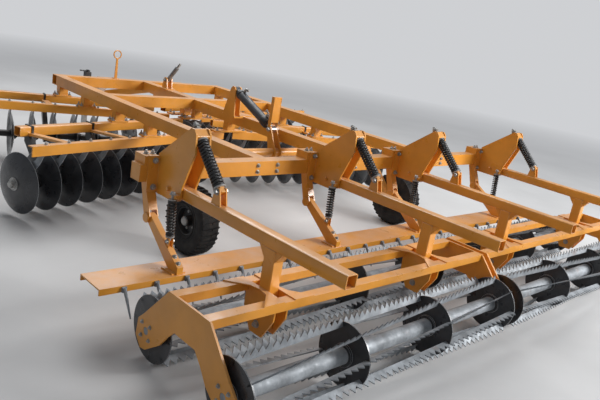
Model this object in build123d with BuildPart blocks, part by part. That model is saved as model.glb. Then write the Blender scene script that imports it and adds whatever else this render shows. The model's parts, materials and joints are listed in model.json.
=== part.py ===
"""Towed combination tillage machine: four disc gangs in an X, a levelling board with spikes,
two pairs of saw-bar rollers on spring-loaded arms, two transport wheels and a drawbar.

Millimetres. +Y is the direction of travel, +X the machine's right, +Z up, floor at Z = 0.
Lengths along Y are first given from the rear face of the crossbeam, and yy() moves them
to the frame of the part, whose origin is under the middle of the whole machine.
"""
from build123d import *
import math
import os

os.makedirs("parts", exist_ok=True)

# Heights above the floor
BEAM_TOP = 830.0
BEAM = 100.0
BEAM_WALL = 6.0
BEAM_BOTTOM = BEAM_TOP - BEAM

# Plan of the main frame, Y from the rear face of the crossbeam
CROSSBEAM_HALF = 1975.0
MAIN_BEAM_X = 1000.0
MIDDLE_BEAM_Y = 2350.0
FRONT_BEAM_Y = 3370.0

# Spring towers and roller arms
TOWER_X = (-1810.0, -498.0, 498.0, 1810.0)
TOWER_PLATE = 12.0
ARM = 70.0
ARM_WALL = 5.0
ARM_SIDE_GAP = 5.0
ARM_TOP = BEAM_TOP - 68.0
ARM_FRONT = -95.0
ARM_REAR = -1527.0
ARM_PIN_Y = -140.0
ARM_PIN_R = 15.0
TRUNNION_Y = -300.0
TRUNNION_Z = BEAM_TOP + 248.0
TRUNNION = 60.0
SPRING_R = 35.0
SPRING_ROD_R = 11.0
SPRING_FOOT_Y = -550.0
SPRING_FOOT_RISE = 72.0
SPRING_SEAT = 24.0
SPRING_HEAD_GAP = 12.0
SPRING_FORK_W = 44.0
SPRING_NUT_R = 17.0
SPRING_THREAD = 52.0
CLAMP_W = 68.0
CLAMP_T = 14.0
CLAMP_OVER = 20.0
GUSSET_REACH = 130.0
GUSSET_DROP = 75.0

# Roller frames
ROLLER_MID_Y = -1029.0
ROLLER_HALF_PITCH = 316.0
ROLLER_TIP_R = 198.0
ROLLER_DISC_R = 174.0
ROLLER_TUBE_R = 45.0
ROLLER_AXLE_R = 20.0
ROLLER_BARS = 8
ROLLER_TWIST = 16.0
ROLLER_BAR_T = 6.0
ROLLER_BAR_H = 46.0
ROLLER_DISC_T = 6.0
ROLLER_BAYS = 3
ROLLER_END_GAP = 22.0
ROLLER_FRAME_OUT = 2282.0
ROLLER_FRAME_IN = 25.0
FRAME_TUBE_W = 60.0
FRAME_TUBE_H = 45.0
FRAME_TUBE_WALL = 4.0
FRAME_TOP = BEAM_TOP - 350.0
SIDE_PLATE = 12.0
APEX_HALF = 160.0
POST_D = 78.0
CROSS_PLATE = 10.0
TOP_GUSSET_T = 6.0
TOP_GUSSET = ((0.0, 0.0), (22.0, 0.0), (35.0, 60.0), (130.0, APEX_HALF), (0.0, APEX_HALF))

# Leveller
HANGER_W = 60.0
LEVEL_PIN_Y = -40.0
LEVEL_PIN_Z = BEAM_TOP - 302.0
LEVEL_PIN_R = 12.0
BOARD_HALF = 2380.0
BOARD_TOP = BEAM_TOP - 530.0
BOARD_REAR = -405.0
BOARD_FRONT = -190.0
BOARD_T = 8.0
BOARD_LIP = 36.0
TINE_PITCH = 195.0
TINE_R = 11.0
TINE_TIP_R = 4.0
TINE_SIDES = 8
TINE_COUNT = 24
TINE_RUN_Y = 85.0
TINE_RUN_Z = 135.0
TINE_SOCKET = (26.0, 12.0, 30.0)
LEVEL_SPRING_R = 27.0
LEVEL_ROD_R = 9.0

# Disc gangs
GANG_ANGLE = 14.4
GANG_TUBE = 75.0
GANG_TUBE_WALL = 5.0
GANG_TOP = BEAM_TOP - 200.0
GANG_HALF_GAP = 270.0
REAR_GANG_Y = 2060.0
FRONT_GANG_Y = 2740.0
GANG_IN = 130.0
GANG_OUT = 2200.0
DISC_R = 235.0
DISC_LIFT = 30.0
DISC_DISH = 42.0
DISC_T = 6.0
DISC_FLAT_R = 60.0
DISC_PITCH = 198.0
DISC_COUNT = 11
SPOOL_R = 38.0
GANG_BEARING_R = 48.0
GANG_HOUSING_WALL = 22.0
GANG_HOUSING_W = 52.0
GANG_JOURNAL_W = 60.0
GANG_STANDARD_W = 70.0
GANG_TIE_W = 60.0
GANG_TIE_H = 50.0
GANG_PLATE_T = 16.0
GANG_PLATE_D = 90.0
GANG_PLATE_OVER = 30.0
GANG_BLOCK_IN = 5.0
GANG_BLOCK_D = 70.0

# Transport wheels and their lift
WHEEL_X = 1212.0
WHEEL_Y = 488.0
TYRE_R = 255.0
TYRE_W = 160.0
TYRE_SIDE = 45.0
TYRE_SHOULDER = 38.0
TREAD_HALF = 60.8
RIM_R = 105.0
RIM_HALF = 57.6
RIM_LIP = 8.0
RIM_WELL = 16.0
RIM_WEB = 10.0
RIM_WEB_OUT = 2.0
RIM_DISH = 12.0
HUB_R = 40.0
HUB_HALF = 60.0
AXLE_R = 18.0
SHAFT_Y = 900.0
SHAFT_Z = BEAM_TOP - 190.0
SHAFT_R = 38.0
SHAFT_HALF = 1130.0
LIFT_X = -125.0
LEVER_PIN_Y = 975.0
LEVER_PIN_Z = BEAM_TOP
LIFT_PIN_R = 12.5
LIFT_EYE_R = 30.0
ROD_EYE_GAP = 4.5
BRACKET_PIN_Y = 1545.0
BRACKET_PIN_Z = BEAM_TOP + 240.0
BARREL_R = 42.0
ROD_R = 20.0
BORE_GAP = 0.05

# Drawbar and jack
DRAWBAR_PIN_X = 450.0
DRAWBAR_ROOT_Y = 3420.0
HITCH_Y = 4760.0
HITCH_Z = 430.0
DRAWBAR_W = 80.0
HITCH_EYE_R = 55.0
HITCH_BORE_R = 20.0
HITCH_T = 40.0
JACK_TUBE = 70.0
JACK_LEG = 54.0
JACK_GAP = 1.0
JACK_BOTTOM = 230.0
JACK_LENGTH = 480.0
JACK_CAP = 12.0
JACK_FOOT_R = 75.0
JACK_FOOT_T = 10.0

# The frame of the part: its origin is under the middle of the overall length
REAR_END = ROLLER_MID_Y - ROLLER_HALF_PITCH - ROLLER_TIP_R
FRONT_END = HITCH_Y + HITCH_EYE_R
ORIGIN_Y = (REAR_END + FRONT_END) / 2


def yy(y):
    """Y in the part's frame from Y measured off the crossbeam's rear face."""
    return y - ORIGIN_Y


def side(x):
    """Plane square to X at x, with local x along Y and local y along Z."""
    return Plane.YZ.offset(x)


def yz(points):
    """Side-view points moved to the part's frame."""
    return [(yy(y), z) for y, z in points]


# Main frame: three long beams and three cross members of one square tube
MAIN_BEAMS = (("left_main_beam", -MAIN_BEAM_X), ("centre_main_beam", 0.0), ("right_main_beam", MAIN_BEAM_X))
for label, x in MAIN_BEAMS:
    with BuildPart() as beam:
        with BuildSketch(Plane.XZ.offset(-yy(BEAM))):
            with Locations((x, BEAM_TOP - BEAM / 2)):
                Rectangle(BEAM, BEAM)
                Rectangle(BEAM - 2 * BEAM_WALL, BEAM - 2 * BEAM_WALL, mode=Mode.SUBTRACT)
        extrude(amount=-(FRONT_BEAM_Y - BEAM / 2 - BEAM))
    beam.part.label = label
    export_step(beam.part, f"parts/{label}.step")

FRONT_HALF = MAIN_BEAM_X + BEAM / 2
for label, y, half in (
    ("rear_crossbeam", BEAM / 2, CROSSBEAM_HALF),
    ("front_beam", FRONT_BEAM_Y, FRONT_HALF),
):
    with BuildPart() as cross:
        with BuildSketch(side(-half)):
            with Locations((yy(y), BEAM_TOP - BEAM / 2)):
                Rectangle(BEAM, BEAM)
                Rectangle(BEAM - 2 * BEAM_WALL, BEAM - 2 * BEAM_WALL, mode=Mode.SUBTRACT)
        extrude(amount=2 * half)
    cross.part.label = label
    export_step(cross.part, f"parts/{label}.step")

with BuildPart() as middle:
    for x in (-MAIN_BEAM_X / 2, MAIN_BEAM_X / 2):
        with BuildSketch(side(x - (MAIN_BEAM_X - BEAM) / 2)):
            with Locations((yy(MIDDLE_BEAM_Y), BEAM_TOP - BEAM / 2)):
                Rectangle(BEAM, BEAM)
                Rectangle(BEAM - 2 * BEAM_WALL, BEAM - 2 * BEAM_WALL, mode=Mode.SUBTRACT)
        extrude(amount=MAIN_BEAM_X - BEAM)
middle.part.label = "middle_beam"
export_step(middle.part, "parts/middle_beam.step")

# Spring towers: a pair of six-sided plates behind the crossbeam, joined by a clamp and a trunnion
SPRING_FOOT_Z = ARM_TOP + SPRING_FOOT_RISE
SPRING_TILT = math.degrees(math.atan2(TRUNNION_Y - SPRING_FOOT_Y, TRUNNION_Z - SPRING_FOOT_Z))
SPRING_RUN = math.hypot(TRUNNION_Y - SPRING_FOOT_Y, TRUNNION_Z - SPRING_FOOT_Z)
CLAMP_TOP = BEAM_TOP + 58
CLAMP_BOTTOM = BEAM_TOP - 158
TOWER_OUTLINE = yz([
    (0.0, BEAM_TOP + 70), (-290.0, BEAM_TOP + 288), (-318.0, BEAM_TOP + 286), (-337.0, BEAM_TOP + 262),
    (-350.0, BEAM_TOP + 152), (-266.0, BEAM_TOP - 62), (-260.0, BEAM_TOP - 140), (-200.0, BEAM_TOP - 165),
    (0.0, BEAM_TOP - 165),
])
PLATE_IN = ARM / 2 + ARM_SIDE_GAP
for number, x in enumerate(TOWER_X, 1):
    with BuildPart() as tower:
        for plane_x in (x - PLATE_IN - TOWER_PLATE, x + PLATE_IN):
            with BuildSketch(side(plane_x)):
                with BuildLine():
                    Polyline(*TOWER_OUTLINE, close=True)
                make_face()
                with Locations((yy(ARM_PIN_Y), ARM_TOP - ARM / 2)):
                    Circle(ARM_PIN_R, mode=Mode.SUBTRACT)
            extrude(amount=TOWER_PLATE)
        with BuildSketch(side(x - PLATE_IN)):
            with Locations((yy(TRUNNION_Y), TRUNNION_Z)):
                RectangleRounded(TRUNNION, TRUNNION, TRUNNION / 6, rotation=-SPRING_TILT)
        extrude(amount=2 * PLATE_IN)
        with BuildSketch(Plane.XZ.offset(-yy(0))):
            with Locations((x, (CLAMP_TOP + CLAMP_BOTTOM) / 2)):
                Rectangle(2 * PLATE_IN, CLAMP_TOP - CLAMP_BOTTOM)
        extrude(amount=CLAMP_T)
        left = x - PLATE_IN - TOWER_PLATE
        with BuildSketch(Plane.XZ.offset(-yy(0))):
            with Locations((left - CLAMP_W / 2, (CLAMP_TOP + CLAMP_BOTTOM) / 2)):
                Rectangle(CLAMP_W, CLAMP_TOP - CLAMP_BOTTOM)
        extrude(amount=CLAMP_T)
        with BuildSketch(Plane.XZ.offset(-yy(BEAM))):
            with Locations((left - CLAMP_W / 2, BEAM_TOP - 20)):
                Rectangle(CLAMP_W + 2 * CLAMP_OVER, 150)
        extrude(amount=-CLAMP_T)
        with BuildSketch(side(left - CLAMP_W - CLAMP_OVER)):
            with Locations((yy(BEAM / 2), BEAM_TOP + 27.5)):
                Rectangle(BEAM, 55)
        extrude(amount=CLAMP_W + CLAMP_OVER)
    tower.part.label = f"spring_tower_{number}"
    export_step(tower.part, f"parts/spring_tower_{number}.step")

# Roller arms: square tube open at its rear end, with a post down to the roller frame
POST_BOTTOM = FRAME_TOP - 215
POST_PIN_Z = FRAME_TOP - 185
ARM_BOTTOM = ARM_TOP - ARM
for number, x in enumerate(TOWER_X, 1):
    with BuildPart() as arm:
        with BuildSketch(Plane.XZ.offset(-yy(ARM_FRONT))):
            with Locations((x, ARM_TOP - ARM / 2)):
                Rectangle(ARM, ARM)
                Rectangle(ARM - 2 * ARM_WALL, ARM - 2 * ARM_WALL, mode=Mode.SUBTRACT)
        extrude(amount=ARM_FRONT - ARM_REAR)
        with BuildSketch(side(x - ARM / 2)):
            with BuildLine():
                Polyline(*yz([
                    (ROLLER_MID_Y + GUSSET_REACH, ARM_BOTTOM),
                    (ROLLER_MID_Y + POST_D / 2, ARM_BOTTOM - GUSSET_DROP),
                    (ROLLER_MID_Y + POST_D / 2, POST_BOTTOM), (ROLLER_MID_Y - POST_D / 2, POST_BOTTOM),
                    (ROLLER_MID_Y - POST_D / 2, ARM_BOTTOM - GUSSET_DROP),
                    (ROLLER_MID_Y - GUSSET_REACH, ARM_BOTTOM),
                ]), close=True)
            make_face()
        extrude(amount=ARM)
        with BuildSketch(side(x - PLATE_IN - TOWER_PLATE)):
            with Locations((yy(ARM_PIN_Y), ARM_TOP - ARM / 2)):
                Circle(ARM_PIN_R)
        extrude(amount=2 * (PLATE_IN + TOWER_PLATE))
    arm.part.label = f"roller_arm_{number}"
    export_step(arm.part, f"parts/roller_arm_{number}.step")

# Coil springs with their rods, from the trunnion down to a clevis on each roller arm
with BuildPart() as springs:
    for x in TOWER_X:
        foot = Plane(
            origin=(x, yy(SPRING_FOOT_Y), SPRING_FOOT_Z),
            x_dir=(1, 0, 0),
            z_dir=(0, TRUNNION_Y - SPRING_FOOT_Y, TRUNNION_Z - SPRING_FOOT_Z),
        )
        with BuildSketch(foot.offset(SPRING_SEAT)):
            Circle(SPRING_R)
        extrude(amount=SPRING_RUN - SPRING_SEAT - TRUNNION / 2 - SPRING_HEAD_GAP)
        with BuildSketch(foot):
            Circle(SPRING_ROD_R)
        extrude(amount=SPRING_RUN - TRUNNION / 2)
        with BuildSketch(side(x - SPRING_FORK_W / 2)):
            with BuildLine():
                Polyline(*yz([
                    (SPRING_FOOT_Y + 40, ARM_TOP), (SPRING_FOOT_Y + 20, SPRING_FOOT_Z + 18),
                    (SPRING_FOOT_Y - 16, SPRING_FOOT_Z + 18), (SPRING_FOOT_Y - 40, ARM_TOP),
                ]), close=True)
            make_face()
        extrude(amount=SPRING_FORK_W)
        top = foot.offset(SPRING_RUN + TRUNNION / 2)
        with BuildSketch(top):
            RegularPolygon(SPRING_NUT_R, 6)
        extrude(amount=SPRING_THREAD)
springs.part.label = "roller_springs"
export_step(springs.part, "parts/roller_springs.step")

# Roller frames: two long tubes with deep double-plate cross-pieces at the posts
FRONT_TUBE_Y = ROLLER_MID_Y + APEX_HALF - FRAME_TUBE_W / 2
REAR_TUBE_Y = ROLLER_MID_Y - APEX_HALF + FRAME_TUBE_W / 2
INNER = APEX_HALF - FRAME_TUBE_W
CROSS_OUTLINE = yz([
    (ROLLER_MID_Y + INNER, FRAME_TOP), (ROLLER_MID_Y - INNER, FRAME_TOP),
    (ROLLER_MID_Y - INNER, FRAME_TOP - FRAME_TUBE_H), (ROLLER_MID_Y - INNER - 15, FRAME_TOP - FRAME_TUBE_H),
    (ROLLER_MID_Y - INNER - 12, FRAME_TOP - 125), (ROLLER_MID_Y - 46, FRAME_TOP - 240),
    (ROLLER_MID_Y + 46, FRAME_TOP - 240), (ROLLER_MID_Y + INNER + 12, FRAME_TOP - 125),
    (ROLLER_MID_Y + INNER + 15, FRAME_TOP - FRAME_TUBE_H), (ROLLER_MID_Y + INNER, FRAME_TOP - FRAME_TUBE_H),
])
SIDES = (("left", -1), ("right", 1))
for name, sign in SIDES:
    low = min(sign * ROLLER_FRAME_OUT, sign * ROLLER_FRAME_IN)
    length = ROLLER_FRAME_OUT - ROLLER_FRAME_IN - 2 * SIDE_PLATE
    posts = [x for x in TOWER_X if x * sign > 0]
    with BuildPart() as frame:
        with BuildSketch(side(low + SIDE_PLATE)):
            for y in (FRONT_TUBE_Y, REAR_TUBE_Y):
                with Locations((yy(y), FRAME_TOP - FRAME_TUBE_H / 2)):
                    Rectangle(FRAME_TUBE_W, FRAME_TUBE_H)
                    Rectangle(
                        FRAME_TUBE_W - 2 * FRAME_TUBE_WALL,
                        FRAME_TUBE_H - 2 * FRAME_TUBE_WALL,
                        mode=Mode.SUBTRACT,
                    )
        extrude(amount=length)
        for x in posts:
            for plane_x in (x - ARM / 2 - CROSS_PLATE, x + ARM / 2):
                with BuildSketch(side(plane_x)):
                    with BuildLine():
                        Polyline(*CROSS_OUTLINE, close=True)
                    make_face()
                    with Locations((yy(ROLLER_MID_Y), POST_PIN_Z)):
                        Circle(ARM_PIN_R, mode=Mode.SUBTRACT)
                extrude(amount=CROSS_PLATE)
            with BuildSketch(Plane.XY.offset(FRAME_TOP)):
                for way in (-1, 1):
                    for row in (1, -1):
                        with BuildLine():
                            Polyline(
                                *[
                                    (x + way * (ARM / 2 + u), yy(ROLLER_MID_Y + row * v))
                                    for u, v in TOP_GUSSET
                                ],
                                close=True,
                            )
                        make_face()
            extrude(amount=TOP_GUSSET_T)
            for plane_x in (x - ARM / 2 - CROSS_PLATE, x + ARM / 2):
                with BuildSketch(side(plane_x)):
                    with Locations((yy(ROLLER_MID_Y), POST_PIN_Z)):
                        Circle(ARM_PIN_R)
                extrude(amount=CROSS_PLATE)
    frame.part.label = f"{name}_roller_frame"
    export_step(frame.part, f"parts/{name}_roller_frame.step")

# Side plates of the roller frames: an inverted V that carries a roller at each foot
ROLLER_AXIS_Z = ROLLER_TIP_R
PLATE_HALF = [
    (APEX_HALF, FRAME_TOP), (346.0, BEAM_TOP - 549), (393.0, BEAM_TOP - 593), (403.0, BEAM_TOP - 687),
    (354.0, BEAM_TOP - 738), (308.0, BEAM_TOP - 731), (192.0, BEAM_TOP - 649), (138.0, BEAM_TOP - 580),
    (84.0, BEAM_TOP - 527),
]
PLATE_OUTLINE = yz(
    [(ROLLER_MID_Y + u, z) for u, z in PLATE_HALF] + [(ROLLER_MID_Y - u, z) for u, z in reversed(PLATE_HALF)]
)
for name, plane_x in (
    ("left_roller_outer_plate", -ROLLER_FRAME_OUT),
    ("left_roller_inner_plate", -ROLLER_FRAME_IN - SIDE_PLATE),
    ("right_roller_inner_plate", ROLLER_FRAME_IN),
    ("right_roller_outer_plate", ROLLER_FRAME_OUT - SIDE_PLATE),
):
    with BuildPart() as plate:
        with BuildSketch(side(plane_x)):
            with BuildLine():
                Polyline(*PLATE_OUTLINE, close=True)
            make_face()
            for way in (-1, 1):
                with Locations((yy(ROLLER_MID_Y + way * ROLLER_HALF_PITCH), ROLLER_AXIS_Z)):
                    Circle(ROLLER_AXLE_R + BORE_GAP, mode=Mode.SUBTRACT)
        extrude(amount=SIDE_PLATE)
    plate.part.label = name
    export_step(plate.part, f"parts/{name}.step")

# Rollers: a tube with four discs, and twisted rows of saw bars on the discs
ROLLER_LEN = ROLLER_FRAME_OUT - ROLLER_FRAME_IN - 2 * SIDE_PLATE
BAY = (ROLLER_LEN - 2 * ROLLER_END_GAP - ROLLER_DISC_T) / ROLLER_BAYS
DISC_X = [ROLLER_END_GAP + i * BAY for i in range(ROLLER_BAYS + 1)]
for name, sign in SIDES:
    for row, way in (("front", 1), ("rear", -1)):
        x0 = min(sign * ROLLER_FRAME_OUT, sign * ROLLER_FRAME_IN) + SIDE_PLATE
        y0 = yy(ROLLER_MID_Y + way * ROLLER_HALF_PITCH)
        with BuildPart() as roller:
            with BuildSketch(Plane(origin=(x0, y0, ROLLER_AXIS_Z), x_dir=(1, 0, 0), z_dir=(0, -1, 0))):
                with Locations((ROLLER_LEN / 2, ROLLER_AXLE_R / 2)):
                    Rectangle(ROLLER_LEN + 2 * SIDE_PLATE, ROLLER_AXLE_R)
                with Locations((ROLLER_LEN / 2, ROLLER_TUBE_R / 2)):
                    Rectangle(ROLLER_LEN - 2 * ROLLER_END_GAP, ROLLER_TUBE_R)
                for u in DISC_X:
                    with Locations((u + ROLLER_DISC_T / 2, ROLLER_DISC_R / 2)):
                        Rectangle(ROLLER_DISC_T, ROLLER_DISC_R)
            revolve(axis=Axis((x0, y0, ROLLER_AXIS_Z), (1, 0, 0)))
            for bay in range(ROLLER_BAYS):
                for k in range(ROLLER_BARS):
                    start = math.radians(k * 360 / ROLLER_BARS + sign * bay * ROLLER_TWIST)
                    stop = math.radians(k * 360 / ROLLER_BARS + sign * (bay + 1) * ROLLER_TWIST)
                    mid_r = ROLLER_TIP_R - ROLLER_BAR_H / 2 - 1
                    a = Vector(
                        x0 + DISC_X[bay],
                        y0 + mid_r * math.cos(start),
                        ROLLER_AXIS_Z + mid_r * math.sin(start),
                    )
                    b = Vector(
                        x0 + DISC_X[bay + 1] + ROLLER_DISC_T,
                        y0 + mid_r * math.cos(stop),
                        ROLLER_AXIS_Z + mid_r * math.sin(stop),
                    )
                    middle_angle = (start + stop) / 2
                    radial = Vector(0, math.cos(middle_angle), math.sin(middle_angle))
                    along = b - a
                    with Locations(Plane(origin=(a + b) / 2, x_dir=along, z_dir=along.cross(radial))):
                        Box(along.length, ROLLER_BAR_H, ROLLER_BAR_T)
        roller.part.label = f"{name}_{row}_roller"
        export_step(roller.part, f"parts/{name}_{row}_roller.step")

# Leveller: hangers under the clamps, arms down to the board, springs between tower and arm
LEVEL_X = [x - PLATE_IN - TOWER_PLATE - CLAMP_W / 2 for x in TOWER_X]
HANGER_TOP = BEAM_BOTTOM
with BuildPart() as hangers:
    for x in LEVEL_X:
        with BuildSketch(side(x - HANGER_W / 2)):
            with BuildLine():
                Polyline(*yz([
                    (60.0, HANGER_TOP), (0.0, HANGER_TOP), (0.0, CLAMP_BOTTOM), (-CLAMP_T, CLAMP_BOTTOM),
                    (LEVEL_PIN_Y - 34, LEVEL_PIN_Z + 10),
                    (LEVEL_PIN_Y - 26, LEVEL_PIN_Z - 26), (LEVEL_PIN_Y + 26, LEVEL_PIN_Z - 26),
                    (LEVEL_PIN_Y + 34, LEVEL_PIN_Z + 10),
                ]), close=True)
            make_face()
            with Locations((yy(LEVEL_PIN_Y), LEVEL_PIN_Z)):
                Circle(LEVEL_PIN_R, mode=Mode.SUBTRACT)
        extrude(amount=HANGER_W)
        with BuildSketch(Plane.XY.offset(LEVEL_PIN_Z - 40)):
            with Locations((x, yy(LEVEL_PIN_Y - 10))):
                Rectangle(HANGER_W - 16, 120)
        extrude(amount=85, mode=Mode.SUBTRACT)
hangers.part.label = "leveller_hangers"
export_step(hangers.part, "parts/leveller_hangers.step")

LEVEL_ARM = 40.0
ARM_END_Y = BOARD_REAR + 14
ARM_TOP_LINE = ((LEVEL_PIN_Y - 12, LEVEL_PIN_Z + 28), (ARM_END_Y - 4, BOARD_TOP + 44))


def level_arm_top(y):
    """Height of the levelling arm's upper edge at y."""
    (y0, z0), (y1, z1) = ARM_TOP_LINE
    return z0 + (z1 - z0) * (y - y0) / (y1 - y0)


with BuildPart() as level_arms:
    for x in LEVEL_X:
        with BuildSketch(side(x - LEVEL_ARM / 2)):
            with BuildLine():
                Polyline(*yz([
                    (LEVEL_PIN_Y + 22, LEVEL_PIN_Z + 16), *ARM_TOP_LINE,
                    (ARM_END_Y - 4, BOARD_TOP), (ARM_END_Y + 80, BOARD_TOP),
                    (LEVEL_PIN_Y + 6, LEVEL_PIN_Z - 24),
                ]), close=True)
            make_face()
            with Locations((yy(LEVEL_PIN_Y), LEVEL_PIN_Z)):
                Circle(LEVEL_PIN_R, mode=Mode.SUBTRACT)
        extrude(amount=LEVEL_ARM)
        with BuildSketch(Plane.XY.offset(BOARD_TOP)):
            with Locations((x, yy(BOARD_REAR + 75))):
                Rectangle(LEVEL_ARM + 50, 110)
        extrude(amount=8)
        with BuildSketch(side(x - HANGER_W / 2)):
            with Locations((yy(LEVEL_PIN_Y), LEVEL_PIN_Z)):
                Circle(LEVEL_PIN_R)
        extrude(amount=HANGER_W)
level_arms.part.label = "leveller_arms"
export_step(level_arms.part, "parts/leveller_arms.step")

LEVEL_SPRING_TOP = (-240.0, BEAM_TOP - 118)
LEVEL_SPRING_FOOT = (-262.0, level_arm_top(-262.0) + 20)
with BuildPart() as level_springs:
    for x in LEVEL_X:
        way = (0, LEVEL_SPRING_TOP[0] - LEVEL_SPRING_FOOT[0], LEVEL_SPRING_TOP[1] - LEVEL_SPRING_FOOT[1])
        run = math.hypot(way[1], way[2])
        foot = Plane(origin=(x, yy(LEVEL_SPRING_FOOT[0]), LEVEL_SPRING_FOOT[1]), x_dir=(1, 0, 0), z_dir=way)
        with BuildSketch(foot.offset(40)):
            Circle(LEVEL_SPRING_R)
        extrude(amount=run - 60)
        with BuildSketch(foot):
            Circle(LEVEL_ROD_R)
        extrude(amount=run)
        with BuildSketch(side(x - 15)):
            with BuildLine():
                Polyline(*yz([
                    (LEVEL_SPRING_FOOT[0] + 22, level_arm_top(LEVEL_SPRING_FOOT[0] + 22)),
                    (LEVEL_SPRING_FOOT[0] + 12, LEVEL_SPRING_FOOT[1] + 24),
                    (LEVEL_SPRING_FOOT[0] - 12, LEVEL_SPRING_FOOT[1] + 24),
                    (LEVEL_SPRING_FOOT[0] - 22, level_arm_top(LEVEL_SPRING_FOOT[0] - 22)),
                ]), close=True)
            make_face()
        extrude(amount=30)
        with BuildSketch(side(x)):
            with Locations((yy(LEVEL_SPRING_TOP[0]), LEVEL_SPRING_TOP[1])):
                Rectangle(44, 34)
        extrude(amount=CLAMP_W / 2)
level_springs.part.label = "leveller_springs"
export_step(level_springs.part, "parts/leveller_springs.step")

with BuildPart() as board:
    with BuildSketch(side(-BOARD_HALF)):
        with BuildLine():
            Polyline(*yz([
                (BOARD_REAR, BOARD_TOP), (BOARD_FRONT, BOARD_TOP), (BOARD_FRONT, BOARD_TOP - BOARD_LIP),
                (BOARD_FRONT - BOARD_T, BOARD_TOP - BOARD_LIP), (BOARD_FRONT - BOARD_T, BOARD_TOP - BOARD_T),
                (BOARD_REAR + BOARD_T, BOARD_TOP - BOARD_T), (BOARD_REAR + BOARD_T, BOARD_TOP - BOARD_LIP),
                (BOARD_REAR, BOARD_TOP - BOARD_LIP),
            ]), close=True)
        make_face()
    extrude(amount=2 * BOARD_HALF)
board.part.label = "leveller_board"
export_step(board.part, "parts/leveller_board.step")

TINE_TOP_Y = BOARD_REAR - TINE_R
with BuildPart() as tines:
    for i in range(TINE_COUNT):
        x = (i - (TINE_COUNT - 1) / 2) * TINE_PITCH
        way = Vector(0, -TINE_RUN_Y, -TINE_RUN_Z)
        root = Plane(origin=(x, yy(TINE_TOP_Y), BOARD_TOP - 12), x_dir=(1, 0, 0), z_dir=way)
        with BuildSketch(root):
            RegularPolygon(TINE_R, TINE_SIDES)
        with BuildSketch(root.offset(way.length)):
            RegularPolygon(TINE_TIP_R, TINE_SIDES)
        loft(ruled=True)
        with Locations((x, yy(BOARD_REAR - 6), BOARD_TOP - 20)):
            Box(*TINE_SOCKET)
tines.part.label = "leveller_tines"
export_step(tines.part, "parts/leveller_tines.step")

# Disc gangs: ladder frames of two tubes, bearing hangers, and shafts with dished discs
DISC_Z = DISC_LIFT + DISC_R
ANGLE = math.radians(GANG_ANGLE)
GANGS = (
    ("rear_left", -1, REAR_GANG_Y, -1), ("rear_right", 1, REAR_GANG_Y, -1),
    ("front_left", -1, FRONT_GANG_Y, 1), ("front_right", 1, FRONT_GANG_Y, 1),
)
GANG_LEN = (GANG_OUT - GANG_IN) / math.cos(ANGLE)
DISC_FIRST = 50.0
SHAFT_END = 40.0
BEARING_AT = [DISC_FIRST + DISC_PITCH * (i + 0.5) for i in (1, 5, 9)]
for name, sign, mid_y, way in GANGS:
    out = Vector(sign * math.cos(ANGLE), way * math.sin(ANGLE), 0)
    inner = Vector(sign * GANG_IN, yy(mid_y) + way * GANG_IN * math.tan(ANGLE), 0)
    ahead = Vector(-out.Y, out.X, 0)
    with BuildPart() as ladder:
        for row in (-1, 1):
            start = inner + ahead * (row * GANG_HALF_GAP) + Vector(0, 0, GANG_TOP - GANG_TUBE / 2)
            with BuildSketch(Plane(origin=start, x_dir=ahead, z_dir=out)):
                Rectangle(GANG_TUBE, GANG_TUBE)
                Rectangle(GANG_TUBE - 2 * GANG_TUBE_WALL, GANG_TUBE - 2 * GANG_TUBE_WALL, mode=Mode.SUBTRACT)
            extrude(amount=GANG_LEN)
        for at in BEARING_AT:
            place = inner + out * at + Vector(0, 0, GANG_TOP - GANG_TUBE / 2)
            with Locations(Plane(origin=place, x_dir=out, z_dir=(0, 0, 1))):
                Box(GANG_TIE_W, 2 * GANG_HALF_GAP - GANG_TUBE, GANG_TIE_H)
            place = inner + out * at + Vector(0, 0, DISC_Z)
            with BuildSketch(Plane(origin=place - out * (GANG_HOUSING_W / 2), x_dir=ahead, z_dir=out)):
                Circle(GANG_BEARING_R + GANG_HOUSING_WALL)
                with Locations((0, (GANG_TOP - GANG_TUBE / 2 - DISC_Z) / 2)):
                    Rectangle(GANG_STANDARD_W, GANG_TOP - GANG_TUBE / 2 - DISC_Z)
                Circle(GANG_BEARING_R, mode=Mode.SUBTRACT)
            extrude(amount=GANG_HOUSING_W)
    ladder.part.label = f"{name}_gang_frame"
    export_step(ladder.part, f"parts/{name}_gang_frame.step")

    with BuildPart() as gang:
        base = inner + Vector(0, 0, DISC_Z)
        dish = DISC_DISH * way
        with BuildSketch(Plane(origin=base, x_dir=out, z_dir=out.cross(Vector(0, 0, 1)))):
            with Locations((DISC_FIRST + DISC_PITCH * (DISC_COUNT - 1) / 2, SPOOL_R / 2)):
                Rectangle(DISC_PITCH * (DISC_COUNT - 1) + 2 * SHAFT_END, SPOOL_R)
            for at in BEARING_AT:
                with Locations((at, (GANG_BEARING_R - BORE_GAP) / 2)):
                    Rectangle(GANG_JOURNAL_W, GANG_BEARING_R - BORE_GAP)
            for i in range(DISC_COUNT):
                u = DISC_FIRST + i * DISC_PITCH
                with BuildLine():
                    Polyline(
                        (u, SPOOL_R / 2), (u, DISC_FLAT_R), (u + dish, DISC_R), (u + dish + DISC_T, DISC_R),
                        (u + DISC_T, DISC_FLAT_R), (u + DISC_T, SPOOL_R / 2), close=True,
                    )
                make_face()
        revolve(axis=Axis(tuple(base), tuple(out)))
    gang.part.label = f"{name}_disc_gang"
    export_step(gang.part, f"parts/{name}_disc_gang.step")

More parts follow.
